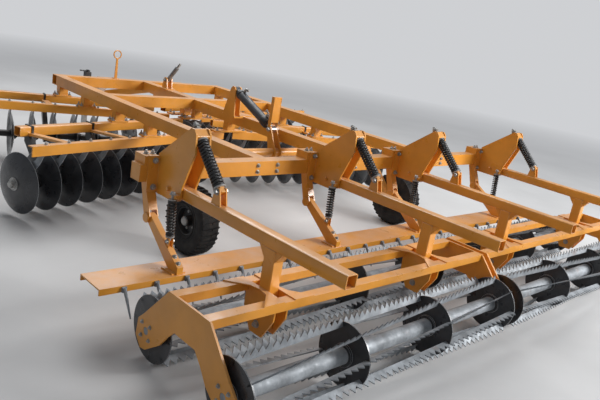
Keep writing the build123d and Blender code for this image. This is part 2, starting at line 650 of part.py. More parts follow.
# Brackets that hang the gang ladders under the three long beams
for name, way, mid_y in (("rear", -1, REAR_GANG_Y), ("front", 1, FRONT_GANG_Y)):
    with BuildPart() as brackets:
        for x in (-MAIN_BEAM_X, 0.0, MAIN_BEAM_X):
            reach = max(abs(x), GANG_IN + 40)
            for row in (-1, 1):
                y = yy(mid_y) + way * reach * math.tan(ANGLE) + row * GANG_HALF_GAP / math.cos(ANGLE)
                with BuildSketch(Plane.XY.offset(GANG_TOP)):
                    with Locations((x, y)):
                        Rectangle(BEAM + 2 * GANG_PLATE_OVER if x else 3 * GANG_IN, GANG_PLATE_D)
                extrude(amount=GANG_PLATE_T)
                with BuildSketch(Plane.XY.offset(GANG_TOP)):
                    with Locations((x, y)):
                        Rectangle(BEAM - 2 * GANG_BLOCK_IN, GANG_BLOCK_D)
                extrude(amount=BEAM_BOTTOM - GANG_TOP)
    brackets.part.label = f"{name}_gang_brackets"
    export_step(brackets.part, f"parts/{name}_gang_brackets.step")

# Lift shaft under the long beams with its wheel arms and lever, and the bearings that carry it
AXLE_Z = TYRE_R
ARM_X = SHAFT_HALF - 30
with BuildPart() as bearings:
    for x in (-MAIN_BEAM_X + 20, MAIN_BEAM_X - 20):
        with BuildSketch(side(x - 30)):
            with BuildLine():
                Polyline(*yz([
                    (SHAFT_Y - 75, BEAM_BOTTOM), (SHAFT_Y + 75, BEAM_BOTTOM), (SHAFT_Y + 56, SHAFT_Z - 20),
                    (SHAFT_Y + 30, SHAFT_Z - 56), (SHAFT_Y - 30, SHAFT_Z - 56), (SHAFT_Y - 56, SHAFT_Z - 20),
                ]), close=True)
            make_face()
            with Locations((yy(SHAFT_Y), SHAFT_Z)):
                Circle(SHAFT_R + BORE_GAP, mode=Mode.SUBTRACT)
        extrude(amount=60)
bearings.part.label = "lift_shaft_bearings"
export_step(bearings.part, "parts/lift_shaft_bearings.step")

LEVER_T = 12.0
LEVER_HALF = 26.0
with BuildPart() as shaft:
    with BuildSketch(side(-SHAFT_HALF)):
        with Locations((yy(SHAFT_Y), SHAFT_Z)):
            Circle(SHAFT_R)
    extrude(amount=2 * SHAFT_HALF)
    for sign in (-1, 1):
        with BuildSketch(side(sign * ARM_X - 25)):
            with Locations((yy(SHAFT_Y), SHAFT_Z)):
                Circle(SHAFT_R + 24)
            with BuildLine():
                Polyline(*yz([
                    (SHAFT_Y - 30, SHAFT_Z + 44), (WHEEL_Y - 28, AXLE_Z + 32), (WHEEL_Y - 20, AXLE_Z - 34),
                    (WHEEL_Y + 30, AXLE_Z - 30), (SHAFT_Y + 22, SHAFT_Z - 54),
                ]), close=True)
            make_face()
        extrude(amount=50)
        with BuildSketch(side(sign * ARM_X)):
            with Locations((yy(WHEEL_Y), AXLE_Z)):
                Circle(AXLE_R)
        extrude(amount=sign * (WHEEL_X - ARM_X + 70))
    for x in (LIFT_X - LEVER_HALF - LEVER_T, LIFT_X + LEVER_HALF):
        with BuildSketch(side(x)):
            with Locations((yy(SHAFT_Y), SHAFT_Z)):
                Circle(SHAFT_R + 20)
            with BuildLine():
                Polyline(*yz([
                    (SHAFT_Y + 50, SHAFT_Z), (LEVER_PIN_Y + 28, LEVER_PIN_Z + 6),
                    (LEVER_PIN_Y + 10, LEVER_PIN_Z + 28), (LEVER_PIN_Y - 18, LEVER_PIN_Z + 24),
                    (LEVER_PIN_Y - 28, LEVER_PIN_Z), (SHAFT_Y - 54, SHAFT_Z),
                ]), close=True)
            make_face()
        extrude(amount=LEVER_T)
    with BuildSketch(side(LIFT_X - LEVER_HALF - LEVER_T)):
        with Locations((yy(LEVER_PIN_Y), LEVER_PIN_Z)):
            Circle(LIFT_PIN_R)
    extrude(amount=2 * (LEVER_HALF + LEVER_T))
shaft.part.label = "lift_shaft"
export_step(shaft.part, "parts/lift_shaft.step")

# Bracket for the lift cylinder, on the left side and top of the centre beam
with BuildPart() as bracket:
    for x in (LIFT_X - LEVER_HALF - LEVER_T, LIFT_X + LEVER_HALF):
        with BuildSketch(side(x)):
            with BuildLine():
                Polyline(*yz([
                    (BRACKET_PIN_Y - 60, BEAM_TOP), (BRACKET_PIN_Y + 110, BEAM_TOP),
                    (BRACKET_PIN_Y + 34, BRACKET_PIN_Z + 10), (BRACKET_PIN_Y + 10, BRACKET_PIN_Z + 32),
                    (BRACKET_PIN_Y - 20, BRACKET_PIN_Z + 26), (BRACKET_PIN_Y - 34, BRACKET_PIN_Z),
                ]), close=True)
            make_face()
        extrude(amount=LEVER_T)
    with BuildSketch(side(LIFT_X - LEVER_HALF - LEVER_T)):
        with Locations((yy(BRACKET_PIN_Y), BRACKET_PIN_Z)):
            Circle(LIFT_PIN_R)
    extrude(amount=2 * (LEVER_HALF + LEVER_T))
    with BuildSketch(Plane.XY.offset(BEAM_TOP - 14)):
        with Locations(((LIFT_X - LEVER_HALF - LEVER_T - BEAM / 2) / 2, yy(BRACKET_PIN_Y + 25))):
            Rectangle(-(LIFT_X - LEVER_HALF - LEVER_T) - BEAM / 2, 190)
    extrude(amount=14)
    with BuildSketch(Plane.XY.offset(BEAM_TOP)):
        with Locations(((LIFT_X + LEVER_HALF + BEAM / 2) / 2, yy(BRACKET_PIN_Y + 25))):
            Rectangle(-(LIFT_X + LEVER_HALF) + BEAM / 2, 190)
    extrude(amount=12)
bracket.part.label = "lift_cylinder_bracket"
export_step(bracket.part, "parts/lift_cylinder_bracket.step")

# Lift cylinder: barrel pinned to its bracket, rod pinned to the lever
LIFT_WAY = Vector(0, LEVER_PIN_Y - BRACKET_PIN_Y, LEVER_PIN_Z - BRACKET_PIN_Z)
LIFT_RUN = LIFT_WAY.length
barrel_plane = Plane(origin=(LIFT_X, yy(BRACKET_PIN_Y), BRACKET_PIN_Z), x_dir=(1, 0, 0), z_dir=LIFT_WAY)
BARREL_START = 72.0
BARREL_LEN = LIFT_RUN - 80
EYE_HALF = LEVER_HALF - 2
PORT_WAY = Vector(0, LIFT_WAY.Z, -LIFT_WAY.Y).normalized()
with BuildPart() as barrel:
    with BuildSketch(barrel_plane.offset(BARREL_START)):
        Circle(BARREL_R)
    extrude(amount=BARREL_LEN - BARREL_START)
    with BuildSketch(barrel_plane.offset(BARREL_START + 20)):
        Circle(ROD_R + BORE_GAP)
    extrude(amount=BARREL_LEN, mode=Mode.SUBTRACT)
    with BuildSketch(side(LIFT_X - EYE_HALF)):
        with Locations((yy(BRACKET_PIN_Y), BRACKET_PIN_Z)):
            Circle(LIFT_EYE_R)
    extrude(amount=2 * EYE_HALF)
    with BuildSketch(barrel_plane):
        Rectangle(2 * EYE_HALF, 44)
    extrude(amount=BARREL_START)
    with BuildSketch(side(LIFT_X - EYE_HALF)):
        with Locations((yy(BRACKET_PIN_Y), BRACKET_PIN_Z)):
            Circle(LIFT_PIN_R + BORE_GAP)
    extrude(amount=2 * EYE_HALF, mode=Mode.SUBTRACT)
    for at in (BARREL_START + 40, BARREL_LEN - 40):
        port = barrel_plane.origin + LIFT_WAY.normalized() * at
        with BuildSketch(Plane(origin=port, x_dir=(1, 0, 0), z_dir=PORT_WAY).offset(ROD_R + 8)):
            Circle(13)
        extrude(amount=BARREL_R - ROD_R + 12)
barrel.part.label = "lift_cylinder_barrel"
export_step(barrel.part, "parts/lift_cylinder_barrel.step")

with BuildPart() as rod:
    with BuildSketch(barrel_plane.offset(BARREL_START + 30)):
        Circle(ROD_R)
    extrude(amount=LIFT_RUN - BARREL_START - 30)
    with BuildSketch(side(LIFT_X - EYE_HALF)):
        with Locations((yy(LEVER_PIN_Y), LEVER_PIN_Z)):
            Circle(LIFT_EYE_R)
    extrude(amount=2 * EYE_HALF)
    with BuildSketch(side(LIFT_X - EYE_HALF)):
        with Locations((yy(LEVER_PIN_Y), LEVER_PIN_Z)):
            Circle(LIFT_PIN_R + ROD_EYE_GAP)
    extrude(amount=2 * EYE_HALF, mode=Mode.SUBTRACT)
rod.part.label = "lift_cylinder_rod"
export_step(rod.part, "parts/lift_cylinder_rod.step")

# Transport wheels
for name, sign in SIDES:
    x = sign * WHEEL_X
    web_end = sign * RIM_DISH + RIM_WEB_OUT
    with BuildPart() as tyre:
        with BuildSketch(Plane(origin=(x, yy(WHEEL_Y), AXLE_Z), x_dir=(1, 0, 0), z_dir=(0, -1, 0))):
            with BuildLine():
                Polyline(
                    (-RIM_HALF, RIM_R), (-TYRE_W / 2, RIM_R + TYRE_SIDE),
                    (-TYRE_W / 2, TYRE_R - TYRE_SHOULDER),
                    (-TREAD_HALF, TYRE_R), (TREAD_HALF, TYRE_R), (TYRE_W / 2, TYRE_R - TYRE_SHOULDER),
                    (TYRE_W / 2, RIM_R + TYRE_SIDE), (RIM_HALF, RIM_R), close=True,
                )
            make_face()
        revolve(axis=Axis((x, yy(WHEEL_Y), AXLE_Z), (1, 0, 0)))
    tyre.part.label = f"{name}_tyre"
    export_step(tyre.part, f"parts/{name}_tyre.step")
    with BuildPart() as rim:
        with BuildSketch(Plane(origin=(x, yy(WHEEL_Y), AXLE_Z), x_dir=(1, 0, 0), z_dir=(0, -1, 0))):
            with BuildLine():
                Polyline(
                    (-RIM_HALF, RIM_R), (-RIM_HALF, RIM_R - RIM_LIP), (web_end - RIM_WEB, RIM_R - RIM_WELL),
                    (web_end - RIM_WEB, HUB_R), (-HUB_HALF, HUB_R), (-HUB_HALF, AXLE_R + BORE_GAP),
                    (HUB_HALF, AXLE_R + BORE_GAP), (HUB_HALF, HUB_R), (web_end, HUB_R),
                    (web_end, RIM_R - RIM_WELL), (RIM_HALF, RIM_R - RIM_LIP), (RIM_HALF, RIM_R), close=True,
                )
            make_face()
        revolve(axis=Axis((x, yy(WHEEL_Y), AXLE_Z), (1, 0, 0)))
    rim.part.label = f"{name}_rim"
    export_step(rim.part, f"parts/{name}_rim.step")

# Drawbar: two legs from the front beam down to the hitch eye, with a jack beside it
LEG_ROOT = [Vector(s * DRAWBAR_PIN_X, yy(DRAWBAR_ROOT_Y), BEAM_TOP - BEAM / 2) for s in (-1, 1)]
NOSE = Vector(0, yy(HITCH_Y - 150), HITCH_Z)
with BuildPart() as drawbar:
    for root in LEG_ROOT:
        way = NOSE - root
        with BuildSketch(Plane(origin=root, x_dir=way.cross(Vector(0, 0, 1)), z_dir=way)):
            Rectangle(DRAWBAR_W, DRAWBAR_W)
        extrude(amount=way.length)
        with Locations((root.X, root.Y + 20, root.Z)):
            Box(180, 40, 98)
    with Locations((0, NOSE.Y - 30, HITCH_Z)):
        Box(150, 200, 90)
    with BuildSketch(Plane.XY.offset(HITCH_Z - HITCH_T / 2)):
        with Locations((0, yy(HITCH_Y - 60))):
            Rectangle(70, 120)
        with Locations((0, yy(HITCH_Y))):
            Circle(HITCH_EYE_R)
            Circle(HITCH_BORE_R, mode=Mode.SUBTRACT)
    extrude(amount=HITCH_T)
    with BuildSketch(Plane.XY.offset(0)):
        with Locations((0, yy(DRAWBAR_ROOT_Y - 60))):
            Rectangle(3 * DRAWBAR_PIN_X, 120)
    extrude(amount=BEAM_TOP + 60, mode=Mode.SUBTRACT)
drawbar.part.label = "drawbar"
export_step(drawbar.part, "parts/drawbar.step")

JACK_SIDE = -75.0 - JACK_TUBE / 2
JACK_AT_Y = HITCH_Y - 180
JACK_TOP = JACK_BOTTOM + JACK_LENGTH
with BuildPart() as jack:
    with BuildSketch(Plane.XY.offset(JACK_BOTTOM)):
        with Locations((JACK_SIDE, yy(JACK_AT_Y))):
            Rectangle(JACK_TUBE, JACK_TUBE)
            Rectangle(JACK_LEG + JACK_GAP, JACK_LEG + JACK_GAP, mode=Mode.SUBTRACT)
    extrude(amount=JACK_LENGTH)
    with BuildSketch(Plane.XY.offset(JACK_TOP)):
        with Locations((JACK_SIDE, yy(JACK_AT_Y))):
            Rectangle(JACK_TUBE, JACK_TUBE)
    extrude(amount=JACK_CAP)
    with BuildSketch(side(JACK_SIDE - 100)):
        with Locations((yy(JACK_AT_Y), JACK_TOP + JACK_CAP + 13)):
            Circle(9)
    extrude(amount=130)
    with BuildSketch(Plane.XY.offset(JACK_TOP + JACK_CAP)):
        with Locations((JACK_SIDE, yy(JACK_AT_Y))):
            Circle(20)
    extrude(amount=26)
jack.part.label = "jack_tube"
export_step(jack.part, "parts/jack_tube.step")

with BuildPart() as leg:
    with BuildSketch(Plane.XY.offset(8)):
        with Locations((JACK_SIDE, yy(JACK_AT_Y))):
            Rectangle(JACK_LEG, JACK_LEG)
    extrude(amount=392)
    with BuildSketch(Plane.XY):
        with Locations((JACK_SIDE, yy(JACK_AT_Y))):
            Circle(JACK_FOOT_R)
    extrude(amount=JACK_FOOT_T)
leg.part.label = "jack_leg"
export_step(leg.part, "parts/jack_leg.step")

# Levelling screw on the front beam and the hose holder post beside it
SCREW_FOOT_Y = 2900.0
with BuildPart() as screw:
    for x in (-34, 22):
        with BuildSketch(side(x)):
            with BuildLine():
                Polyline(*yz([
                    (SCREW_FOOT_Y - 50, BEAM_TOP), (SCREW_FOOT_Y + 50, BEAM_TOP),
                    (SCREW_FOOT_Y + 24, BEAM_TOP + 112),
                    (SCREW_FOOT_Y - 24, BEAM_TOP + 112),
                ]), close=True)
            make_face()
        extrude(amount=12)
    with BuildSketch(side(-34)):
        with Locations((yy(SCREW_FOOT_Y), BEAM_TOP + 86)):
            Circle(12)
    extrude(amount=68)
    screw_plane = Plane(origin=(0, yy(SCREW_FOOT_Y), BEAM_TOP + 86), x_dir=(1, 0, 0), z_dir=(0, -200, 201))
    with BuildSketch(screw_plane):
        Circle(20)
    extrude(amount=210)
    with BuildSketch(screw_plane.offset(210)):
        Circle(14)
    extrude(amount=90)
screw.part.label = "levelling_screw"
export_step(screw.part, "parts/levelling_screw.step")

POST_X = -359.0
with BuildPart() as post:
    with BuildSketch(Plane.XY.offset(BEAM_TOP)):
        with Locations((POST_X, yy(FRONT_BEAM_Y + 20))):
            Rectangle(60, 60)
    extrude(amount=8)
    with BuildSketch(Plane.XY.offset(BEAM_TOP + 8)):
        with Locations((POST_X, yy(FRONT_BEAM_Y + 20))):
            Circle(13)
    extrude(amount=172)
    with BuildSketch(Plane.XZ.offset(-yy(FRONT_BEAM_Y + 14))):
        with Locations((POST_X, BEAM_TOP + 210)):
            Circle(38)
            Circle(24, mode=Mode.SUBTRACT)
    extrude(amount=-12)
post.part.label = "hose_holder_post"
export_step(post.part, "parts/hose_holder_post.step")
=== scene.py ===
"""Looks of a towed combination tillage machine: paint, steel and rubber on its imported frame,
with dished discs, twisted saw bars, coil springs, treaded tyres and bolts."""

import json
import math

import bmesh
import bpy
from mathutils import Matrix, Vector


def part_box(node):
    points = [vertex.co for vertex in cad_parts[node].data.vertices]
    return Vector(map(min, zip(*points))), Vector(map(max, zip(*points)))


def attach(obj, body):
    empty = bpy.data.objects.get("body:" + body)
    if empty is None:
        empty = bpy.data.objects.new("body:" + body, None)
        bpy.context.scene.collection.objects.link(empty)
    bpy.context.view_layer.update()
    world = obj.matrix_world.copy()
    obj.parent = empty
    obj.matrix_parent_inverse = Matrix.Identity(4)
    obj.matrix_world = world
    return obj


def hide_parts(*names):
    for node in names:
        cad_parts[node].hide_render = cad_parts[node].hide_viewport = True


bl_info = {
    "name": "Tillage Machine",
    "version": (1, 0, 0),
    "blender": (4, 5, 0),
    "location": "3D View > Sidebar > Tillage",
    "description": "Dresses a towed combination tillage machine with its finished pieces",
    "category": "Object",
}

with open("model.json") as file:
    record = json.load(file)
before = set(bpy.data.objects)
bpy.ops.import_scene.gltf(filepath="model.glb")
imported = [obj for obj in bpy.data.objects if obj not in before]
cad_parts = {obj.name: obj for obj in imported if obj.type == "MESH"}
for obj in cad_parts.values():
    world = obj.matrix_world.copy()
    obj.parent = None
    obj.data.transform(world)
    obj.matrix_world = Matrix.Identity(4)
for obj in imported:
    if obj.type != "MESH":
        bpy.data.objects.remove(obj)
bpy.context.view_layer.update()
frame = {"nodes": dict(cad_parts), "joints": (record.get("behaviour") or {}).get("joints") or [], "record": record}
JOINTS = {joint["name"]: joint for joint in frame["joints"]}


def middle(node):
    """The middle of a node's box."""
    low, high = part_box(node)
    return (low + high) / 2


# Places in the frame, in metres
SIDEWAYS, AHEAD, UP = Vector((1, 0, 0)), Vector((0, 1, 0)), Vector((0, 0, 1))
CROSSBEAM_LOW, CROSSBEAM_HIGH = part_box("rear_crossbeam")
REAR_FACE = CROSSBEAM_LOW.y
BEAM_TOP = CROSSBEAM_HIGH.z
BEAM = CROSSBEAM_HIGH.y - CROSSBEAM_LOW.y
ARM_LOW, ARM_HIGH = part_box("roller_arm_1")
ARM_TOP = ARM_HIGH.z
ARM_PIN_Y = -0.140
POST_Y = middle("left_roller_frame").y - REAR_FACE
GANG_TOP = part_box("rear_left_gang_frame")[1].z
LEVELLER_LEFT = -middle("leveller_arms").x
TOWERS = [middle(f"roller_arm_{number}").x for number in range(1, 5)]
MAIN_BEAMS = [middle(f"{place}_main_beam").x for place in ("left", "centre", "right")]
SIDES = (("left", -1), ("right", 1))
ROWS = ("front", "rear")
GANGS = (("rear_left", -1, -1), ("rear_right", 1, -1), ("front_left", -1, 1), ("front_right", 1, 1))
BOTH = (-1, 1)


def at(x, y, z):
    """A point from x, y off the crossbeam's rear face and z above the floor."""
    return Vector((x, REAR_FACE + y, z))


# Camera: its angles are in degrees and its lens in millimetres
CAMERA_AT = at(-3.839, -3.095, 1.751)
CAMERA_HEADING = -46.0011
CAMERA_TILT = -15.3726
CAMERA_ROLL = 10.0010
CAMERA_LENS = 37.9


class MachineSettings(bpy.types.PropertyGroup):
    """Sizes and colours that a user may change."""

    paint: bpy.props.FloatVectorProperty(
        name="Paint", description="Colour of the painted frame", subtype="COLOR", size=3, min=0, max=1,
        default=(0.76, 0.320, 0.038))
    steel: bpy.props.FloatVectorProperty(
        name="Bare steel", description="Colour of the saw bars and spikes", subtype="COLOR", size=3,
        min=0, max=1, default=(0.275, 0.295, 0.315))
    disc: bpy.props.FloatVectorProperty(
        name="Discs", description="Colour of the dished discs", subtype="COLOR", size=3, min=0, max=1,
        default=(0.018, 0.019, 0.022))
    tooth_pitch: bpy.props.FloatProperty(
        name="Tooth pitch", description="Distance between teeth on a saw bar", unit="LENGTH",
        default=0.046, min=0.02, max=0.1)
    tooth_depth: bpy.props.FloatProperty(
        name="Tooth depth", description="Height of a tooth on a saw bar", unit="LENGTH",
        default=0.031, min=0.005, max=0.04)
    coil_turns: bpy.props.IntProperty(
        name="Coil turns", description="Turns of each roller spring", default=14, min=4, max=40)
    wire: bpy.props.FloatProperty(
        name="Spring wire", description="Radius of the roller springs' wire", unit="LENGTH",
        default=0.0076, min=0.002, max=0.01)
    lugs: bpy.props.IntProperty(
        name="Tyre lugs", description="Lugs on each side of a tyre's tread", default=34, min=12, max=60)


def settings():
    """The scene's settings for this machine."""
    return bpy.context.scene.tillage_machine


# Materials

# Pale pinkish colour on the frame's top faces: a painted reflection of the sky
FRAME_TOP_REFLECTION = (0.62, 0.50, 0.44)
FRAME_CHIP = (0.085, 0.060, 0.045)
SPRING_BLACK = (0.014, 0.014, 0.015)
# Pale grey on the top faces of black parts: dust and a painted reflection of the sky
SPRING_DUST_AND_REFLECTION = (0.17, 0.155, 0.14)
SPRING_RUST = (0.11, 0.055, 0.03)
STEEL_RUST = (0.20, 0.10, 0.055)
DISC_SHEEN = (0.050, 0.052, 0.058)
DISC_DUST = (0.13, 0.125, 0.12)
DISC_EDGE = (0.52, 0.53, 0.54)
TYRE_BLACK = (0.016, 0.016, 0.017)
TYRE_DUST = (0.10, 0.092, 0.082)
CYLINDER_GREY = (0.050, 0.055, 0.064)
ZINC = (0.46, 0.455, 0.44)
CHROME = (0.78, 0.78, 0.79)
MIX_COLOURS = (6, 7)
MIX_RESULT = 2


def label(key):
    """A socket's label from a keyword, such as Base Color from Base_Color."""
    return key.replace("_", " ").title().replace("Ior", "IOR")


class Nodes:
    """A material's node tree with short calls to add and join nodes."""

    def __init__(self, name):
        self.material = bpy.data.materials.new(name)
        self.material.use_nodes = True
        self.tree = self.material.node_tree
        self.shader = self.tree.nodes["Principled BSDF"]

    def add(self, kind, **values):
        """Adds a node; values name its own settings or, failing that, its inputs."""
        node = self.tree.nodes.new(kind)
        for key, value in values.items():
            if hasattr(node, key):
                setattr(node, key, value)
            else:
                node.inputs[label(key)].default_value = value
        return node

    def join(self, source, target):
        """Joins an output socket to an input socket."""
        self.tree.links.new(source, target)

    def noise(self, scale, detail=4.0, rough=0.55):
        """Noise over the object's own coordinates, as a value from 0 to 1."""
        where = self.add("ShaderNodeTexCoord")
        node = self.add("ShaderNodeTexNoise", scale=scale, detail=detail, roughness=rough)
        self.join(where.outputs["Object"], node.inputs["Vector"])
        return node.outputs["Fac"]

    def spread(self, source, low, high, to_low=0.0, to_high=1.0):
        """Maps a value from one range to another and clamps it."""
        node = self.add("ShaderNodeMapRange", from_min=low, from_max=high, to_min=to_low, to_max=to_high)
        self.join(source, node.inputs["Value"])
        return node.outputs["Result"]

    def patches(self, scale, cut, spread=(0.0, 1.0), detail=4.0, rough=0.55):
        """Uneven patches: noise cut between two values and spread over a range."""
        return self.spread(self.noise(scale, detail, rough), *cut, *spread)

    def maths(self, kind, first, second):
        """One step of arithmetic on two sockets."""
        node = self.add("ShaderNodeMath", operation=kind)
        self.join(first, node.inputs[0])
        self.join(second, node.inputs[1])
        return node.outputs[0]

    def mix(self, factor, first, second):
        """Mixes two colours, each a socket or three numbers."""
        node = self.add("ShaderNodeMix", data_type="RGBA")
        self.join(factor, node.inputs["Factor"])
        for number, value in zip(MIX_COLOURS, (first, second)):
            if hasattr(value, "links"):
                self.join(value, node.inputs[number])
            else:
                node.inputs[number].default_value = (*value, 1.0)
        return node.outputs[MIX_RESULT]

    def edges(self, radius):
        """About 1 on sharp outer and inner edges and 0 on flat faces."""
        soft = self.add("ShaderNodeBevel", samples=6, radius=radius)
        plain = self.add("ShaderNodeNewGeometry")
        dot = self.add("ShaderNodeVectorMath", operation="DOT_PRODUCT")
        self.join(soft.outputs["Normal"], dot.inputs[0])
        self.join(plain.outputs["Normal"], dot.inputs[1])
        return self.spread(dot.outputs["Value"], low=0.995, high=0.80)

    def upward(self):
        """About 1 on faces that look up."""
        where = self.add("ShaderNodeNewGeometry")
        parts = self.add("ShaderNodeSeparateXYZ")
        self.join(where.outputs["Normal"], parts.inputs[0])
        return self.spread(parts.outputs["Z"], low=0.3, high=0.95)

    def upward_patches(self, *patches, **more):
        """Patches only on faces that look up, for painted reflections of the sky and for dust."""
        return self.maths("MULTIPLY", self.upward(), self.patches(*patches, **more))

    def worn(self, radius, *patches, **more):
        """Patches of wear along edges."""
        return self.maths("MULTIPLY", self.edges(radius), self.patches(*patches, **more))

    def bump(self, height, strength, distance, round_edges=0.0):
        """Bump from a height, over edges rounded by a small radius."""
        node = self.add("ShaderNodeBump", strength=strength, distance=distance)
        self.join(height, node.inputs["Height"])
        if round_edges:
            soft = self.add("ShaderNodeBevel", samples=4, radius=round_edges)
            self.join(soft.outputs["Normal"], node.inputs["Normal"])
        self.join(node.outputs["Normal"], self.shader.inputs["Normal"])

    def feed(self, **sources):
        """Joins outputs to the shader's own sockets."""
        for key, source in sources.items():
            self.join(source, self.shader.inputs[label(key)])

    def set(self, **values):
        """Sets the shader's own sockets."""
        for key, value in values.items():
            self.shader.inputs[label(key)].default_value = value
        return self.material


def shade(colour, factor):
    """A colour made darker or lighter by one factor."""
    return tuple(min(1.0, part * factor) for part in colour)


def frame_paint(name, colour, wear):
    """Sprayed gloss paint, uneven in tone, with a painted reflection of the sky in pale pinkish patches on faces
    that look up, and chipped on its edges.
    """
    m = Nodes(name)
    tone = m.mix(m.patches(3.2, (0.35, 0.7)), shade(colour, 0.86), shade(colour, 1.10))
    # Pale pinkish patches on faces that look up: a painted reflection of the sky
    patched = m.mix(m.upward_patches(9.0, (0.36, 0.72), (0.10, 0.42), detail=7.0, rough=0.65), tone, FRAME_TOP_REFLECTION)
    chipped = m.mix(m.worn(0.004, 38.0, (0.56, 0.66), (0.0, wear), detail=6.0, rough=0.7), patched, FRAME_CHIP)
    scuff = m.patches(55.0, (0.665, 0.70), (0.0, 0.75), detail=8.0, rough=0.75)
    m.feed(Base_Color=m.mix(scuff, chipped, shade(colour, 0.42)))
    m.feed(Roughness=m.patches(14.0, (0.3, 0.75), (0.26, 0.46), detail=6.0))
    m.bump(m.noise(210.0, 3.0), 0.10, 0.0006, round_edges=0.003)
    return m.set(Coat_Weight=0.35, Coat_Roughness=0.18)


def black_paint(name, colour):
    """Black gloss on springs and clamps, with dust and a painted reflection of the sky in pale grey patches on
    faces that look up, and a little rust at the edges.
    """
    m = Nodes(name)
    # Pale grey patches on faces that look up: dust and a painted reflection of the sky
    grey = m.mix(m.upward_patches(16.0, (0.38, 0.72), (0.0, 0.5), detail=7.0), colour, SPRING_DUST_AND_REFLECTION)
    rust = m.worn(0.003, 60.0, (0.55, 0.7), (0.0, 0.6), detail=6.0)
    m.feed(Base_Color=m.mix(rust, grey, SPRING_RUST))
    m.feed(Roughness=m.patches(24.0, (0.3, 0.7), (0.3, 0.55), detail=5.0))
    m.bump(m.noise(160.0, 3.0), 0.12, 0.0008, round_edges=0.002)
    return m.set(Coat_Weight=0.2, Coat_Roughness=0.25)


def rolled_steel(name, colour, rusty):
    """Bare rolled steel with mill scale, dull patches and brown rust in places."""
    m = Nodes(name)
    scale = m.patches(11.0, (0.38, 0.66), detail=8.0, rough=0.65)
    dull = m.mix(scale, shade(colour, 0.72), shade(colour, 1.35))
    rust = m.patches(6.0, (0.58, 0.74), (0.0, rusty), detail=9.0, rough=0.72)
    m.feed(Base_Color=m.mix(rust, dull, STEEL_RUST))
    m.feed(Roughness=m.patches(30.0, (0.3, 0.72), (0.50, 0.76), detail=6.0))
    m.bump(m.noise(120.0, 6.0, 0.6), 0.22, 0.0010, round_edges=0.0015)
    return m.set(Metallic=0.25)


def disc_paint(name, colour):
    """Black dipped discs, glossy, with dust in patches and edges worn bright."""
    m = Nodes(name)
    tone = m.mix(m.patches(7.0, (0.4, 0.72), detail=7.0, rough=0.6), colour, DISC_SHEEN)
    patched = m.mix(m.patches(26.0, (0.6, 0.76), (0.0, 0.4), detail=8.0, rough=0.7), tone, DISC_DUST)
    bright = m.worn(0.004, 9.0, (0.3, 0.6), (0.35, 1.0), detail=5.0)
    m.feed(Base_Color=m.mix(bright, patched, DISC_EDGE))
    m.feed(Roughness=m.patches(18.0, (0.3, 0.72), (0.22, 0.46), detail=6.0))
    m.bump(m.noise(90.0, 4.0), 0.10, 0.0008)
    return m.set(Coat_Weight=0.3, Coat_Roughness=0.2)


def plated(name, colour, rough, metallic):
    """Zinc or chrome plate with a fine drawn finish."""
    m = Nodes(name)
    tone = m.mix(m.patches(45.0, (0.35, 0.7), detail=6.0), shade(colour, 0.7), shade(colour, 1.08))
    m.feed(Base_Color=tone)
    m.feed(Roughness=m.patches(70.0, (0.3, 0.7), (rough, rough + 0.16), detail=5.0))
    m.bump(m.noise(260.0, 3.0), 0.08, 0.0004, round_edges=0.0008)
    return m.set(Metallic=metallic)


def rubber(name):
    """Dull tyre rubber, paler where dust lies in it."""
    m = Nodes(name)
    dust = m.patches(20.0, (0.45, 0.75), (0.0, 0.55), detail=8.0, rough=0.7)
    m.feed(Base_Color=m.mix(dust, TYRE_BLACK, TYRE_DUST))
    m.feed(Roughness=m.patches(40.0, (0.3, 0.7), (0.62, 0.88), detail=5.0))
    m.bump(m.noise(180.0, 6.0), 0.25, 0.0010)
    return m.set(Specular_Ior_Level=0.35)


MATERIALS = {}


def make_materials():
    """Makes the machine's finishes once, named by the record's slots."""
    chosen = settings()
    MATERIALS.update({
        "orange_paint": frame_paint("orange_paint", tuple(chosen.paint), wear=0.9),
        "black_paint": black_paint("black_paint", SPRING_BLACK),
        "worn_steel": rolled_steel("worn_steel", tuple(chosen.steel), rusty=0.55),
        "disc_steel": disc_paint("disc_steel", tuple(chosen.disc)),
        "zinc": plated("zinc", ZINC, rough=0.36, metallic=0.6),
        "tyre_rubber": rubber("tyre_rubber"),
        "cylinder_paint": black_paint("cylinder_paint", CYLINDER_GREY),
        "chrome_rod": plated("chrome_rod", CHROME, rough=0.10, metallic=0.95),
    })


# Mesh tools

def side_axes(axis):
    """Two directions square to an axis and to each other."""
    helper = UP if abs(axis.z) < 0.9 else SIDEWAYS
    first = axis.cross(helper).normalized()
    return first, axis.cross(first).normalized()


def round_point(centre, first, second, radius, angle):
    """A point at an angle round a centre, from the first direction to the second."""
    return centre + radius * (first * math.cos(angle) + second * math.sin(angle))


def four(across, along):
    """The four corners that lie across and along from a middle."""
    return [(dx, dy) for dx in (-across, across) for dy in (-along, along)]


def skin(bm, rings):
    """Faces between neighbouring rings of as many points."""
    for one, two in zip(rings, rings[1:]):
        for k in range(len(one)):
            n = (k + 1) % len(one)
            bm.faces.new((one[k], one[n], two[n], two[k]))


def capped(bm, rings):
    """A skin over rings, closed by a face at each end."""
    skin(bm, rings)
    bm.faces.new(rings[0][::-1])
    bm.faces.new(rings[-1])


def turned(bm, profile, origin, axis, segments=32, closed=False):
    """Turns a profile of (distance along the axis, radius) about an axis."""
    axis = axis.normalized()
    first, second = side_axes(axis)
    rings = []
    for along, radius in profile:
        centre = origin + axis * along
        if radius < 1e-6:
            rings.append([bm.verts.new(centre)])
            continue
        rings.append([
            bm.verts.new(round_point(centre, first, second, radius, 2 * math.pi * k / segments))
            for k in range(segments)
        ])
    pairs = list(zip(rings, rings[1:]))
    if closed:
        pairs.append((rings[-1], rings[0]))
    for one, two in pairs:
        if len(one) == 1 and len(two) == 1:
            continue
        for k in range(segments):
            n = (k + 1) % segments
            corners = [one[k % len(one)], one[n % len(one)], two[n % len(two)], two[k % len(two)]]
            bm.faces.new(list(dict.fromkeys(corners)))


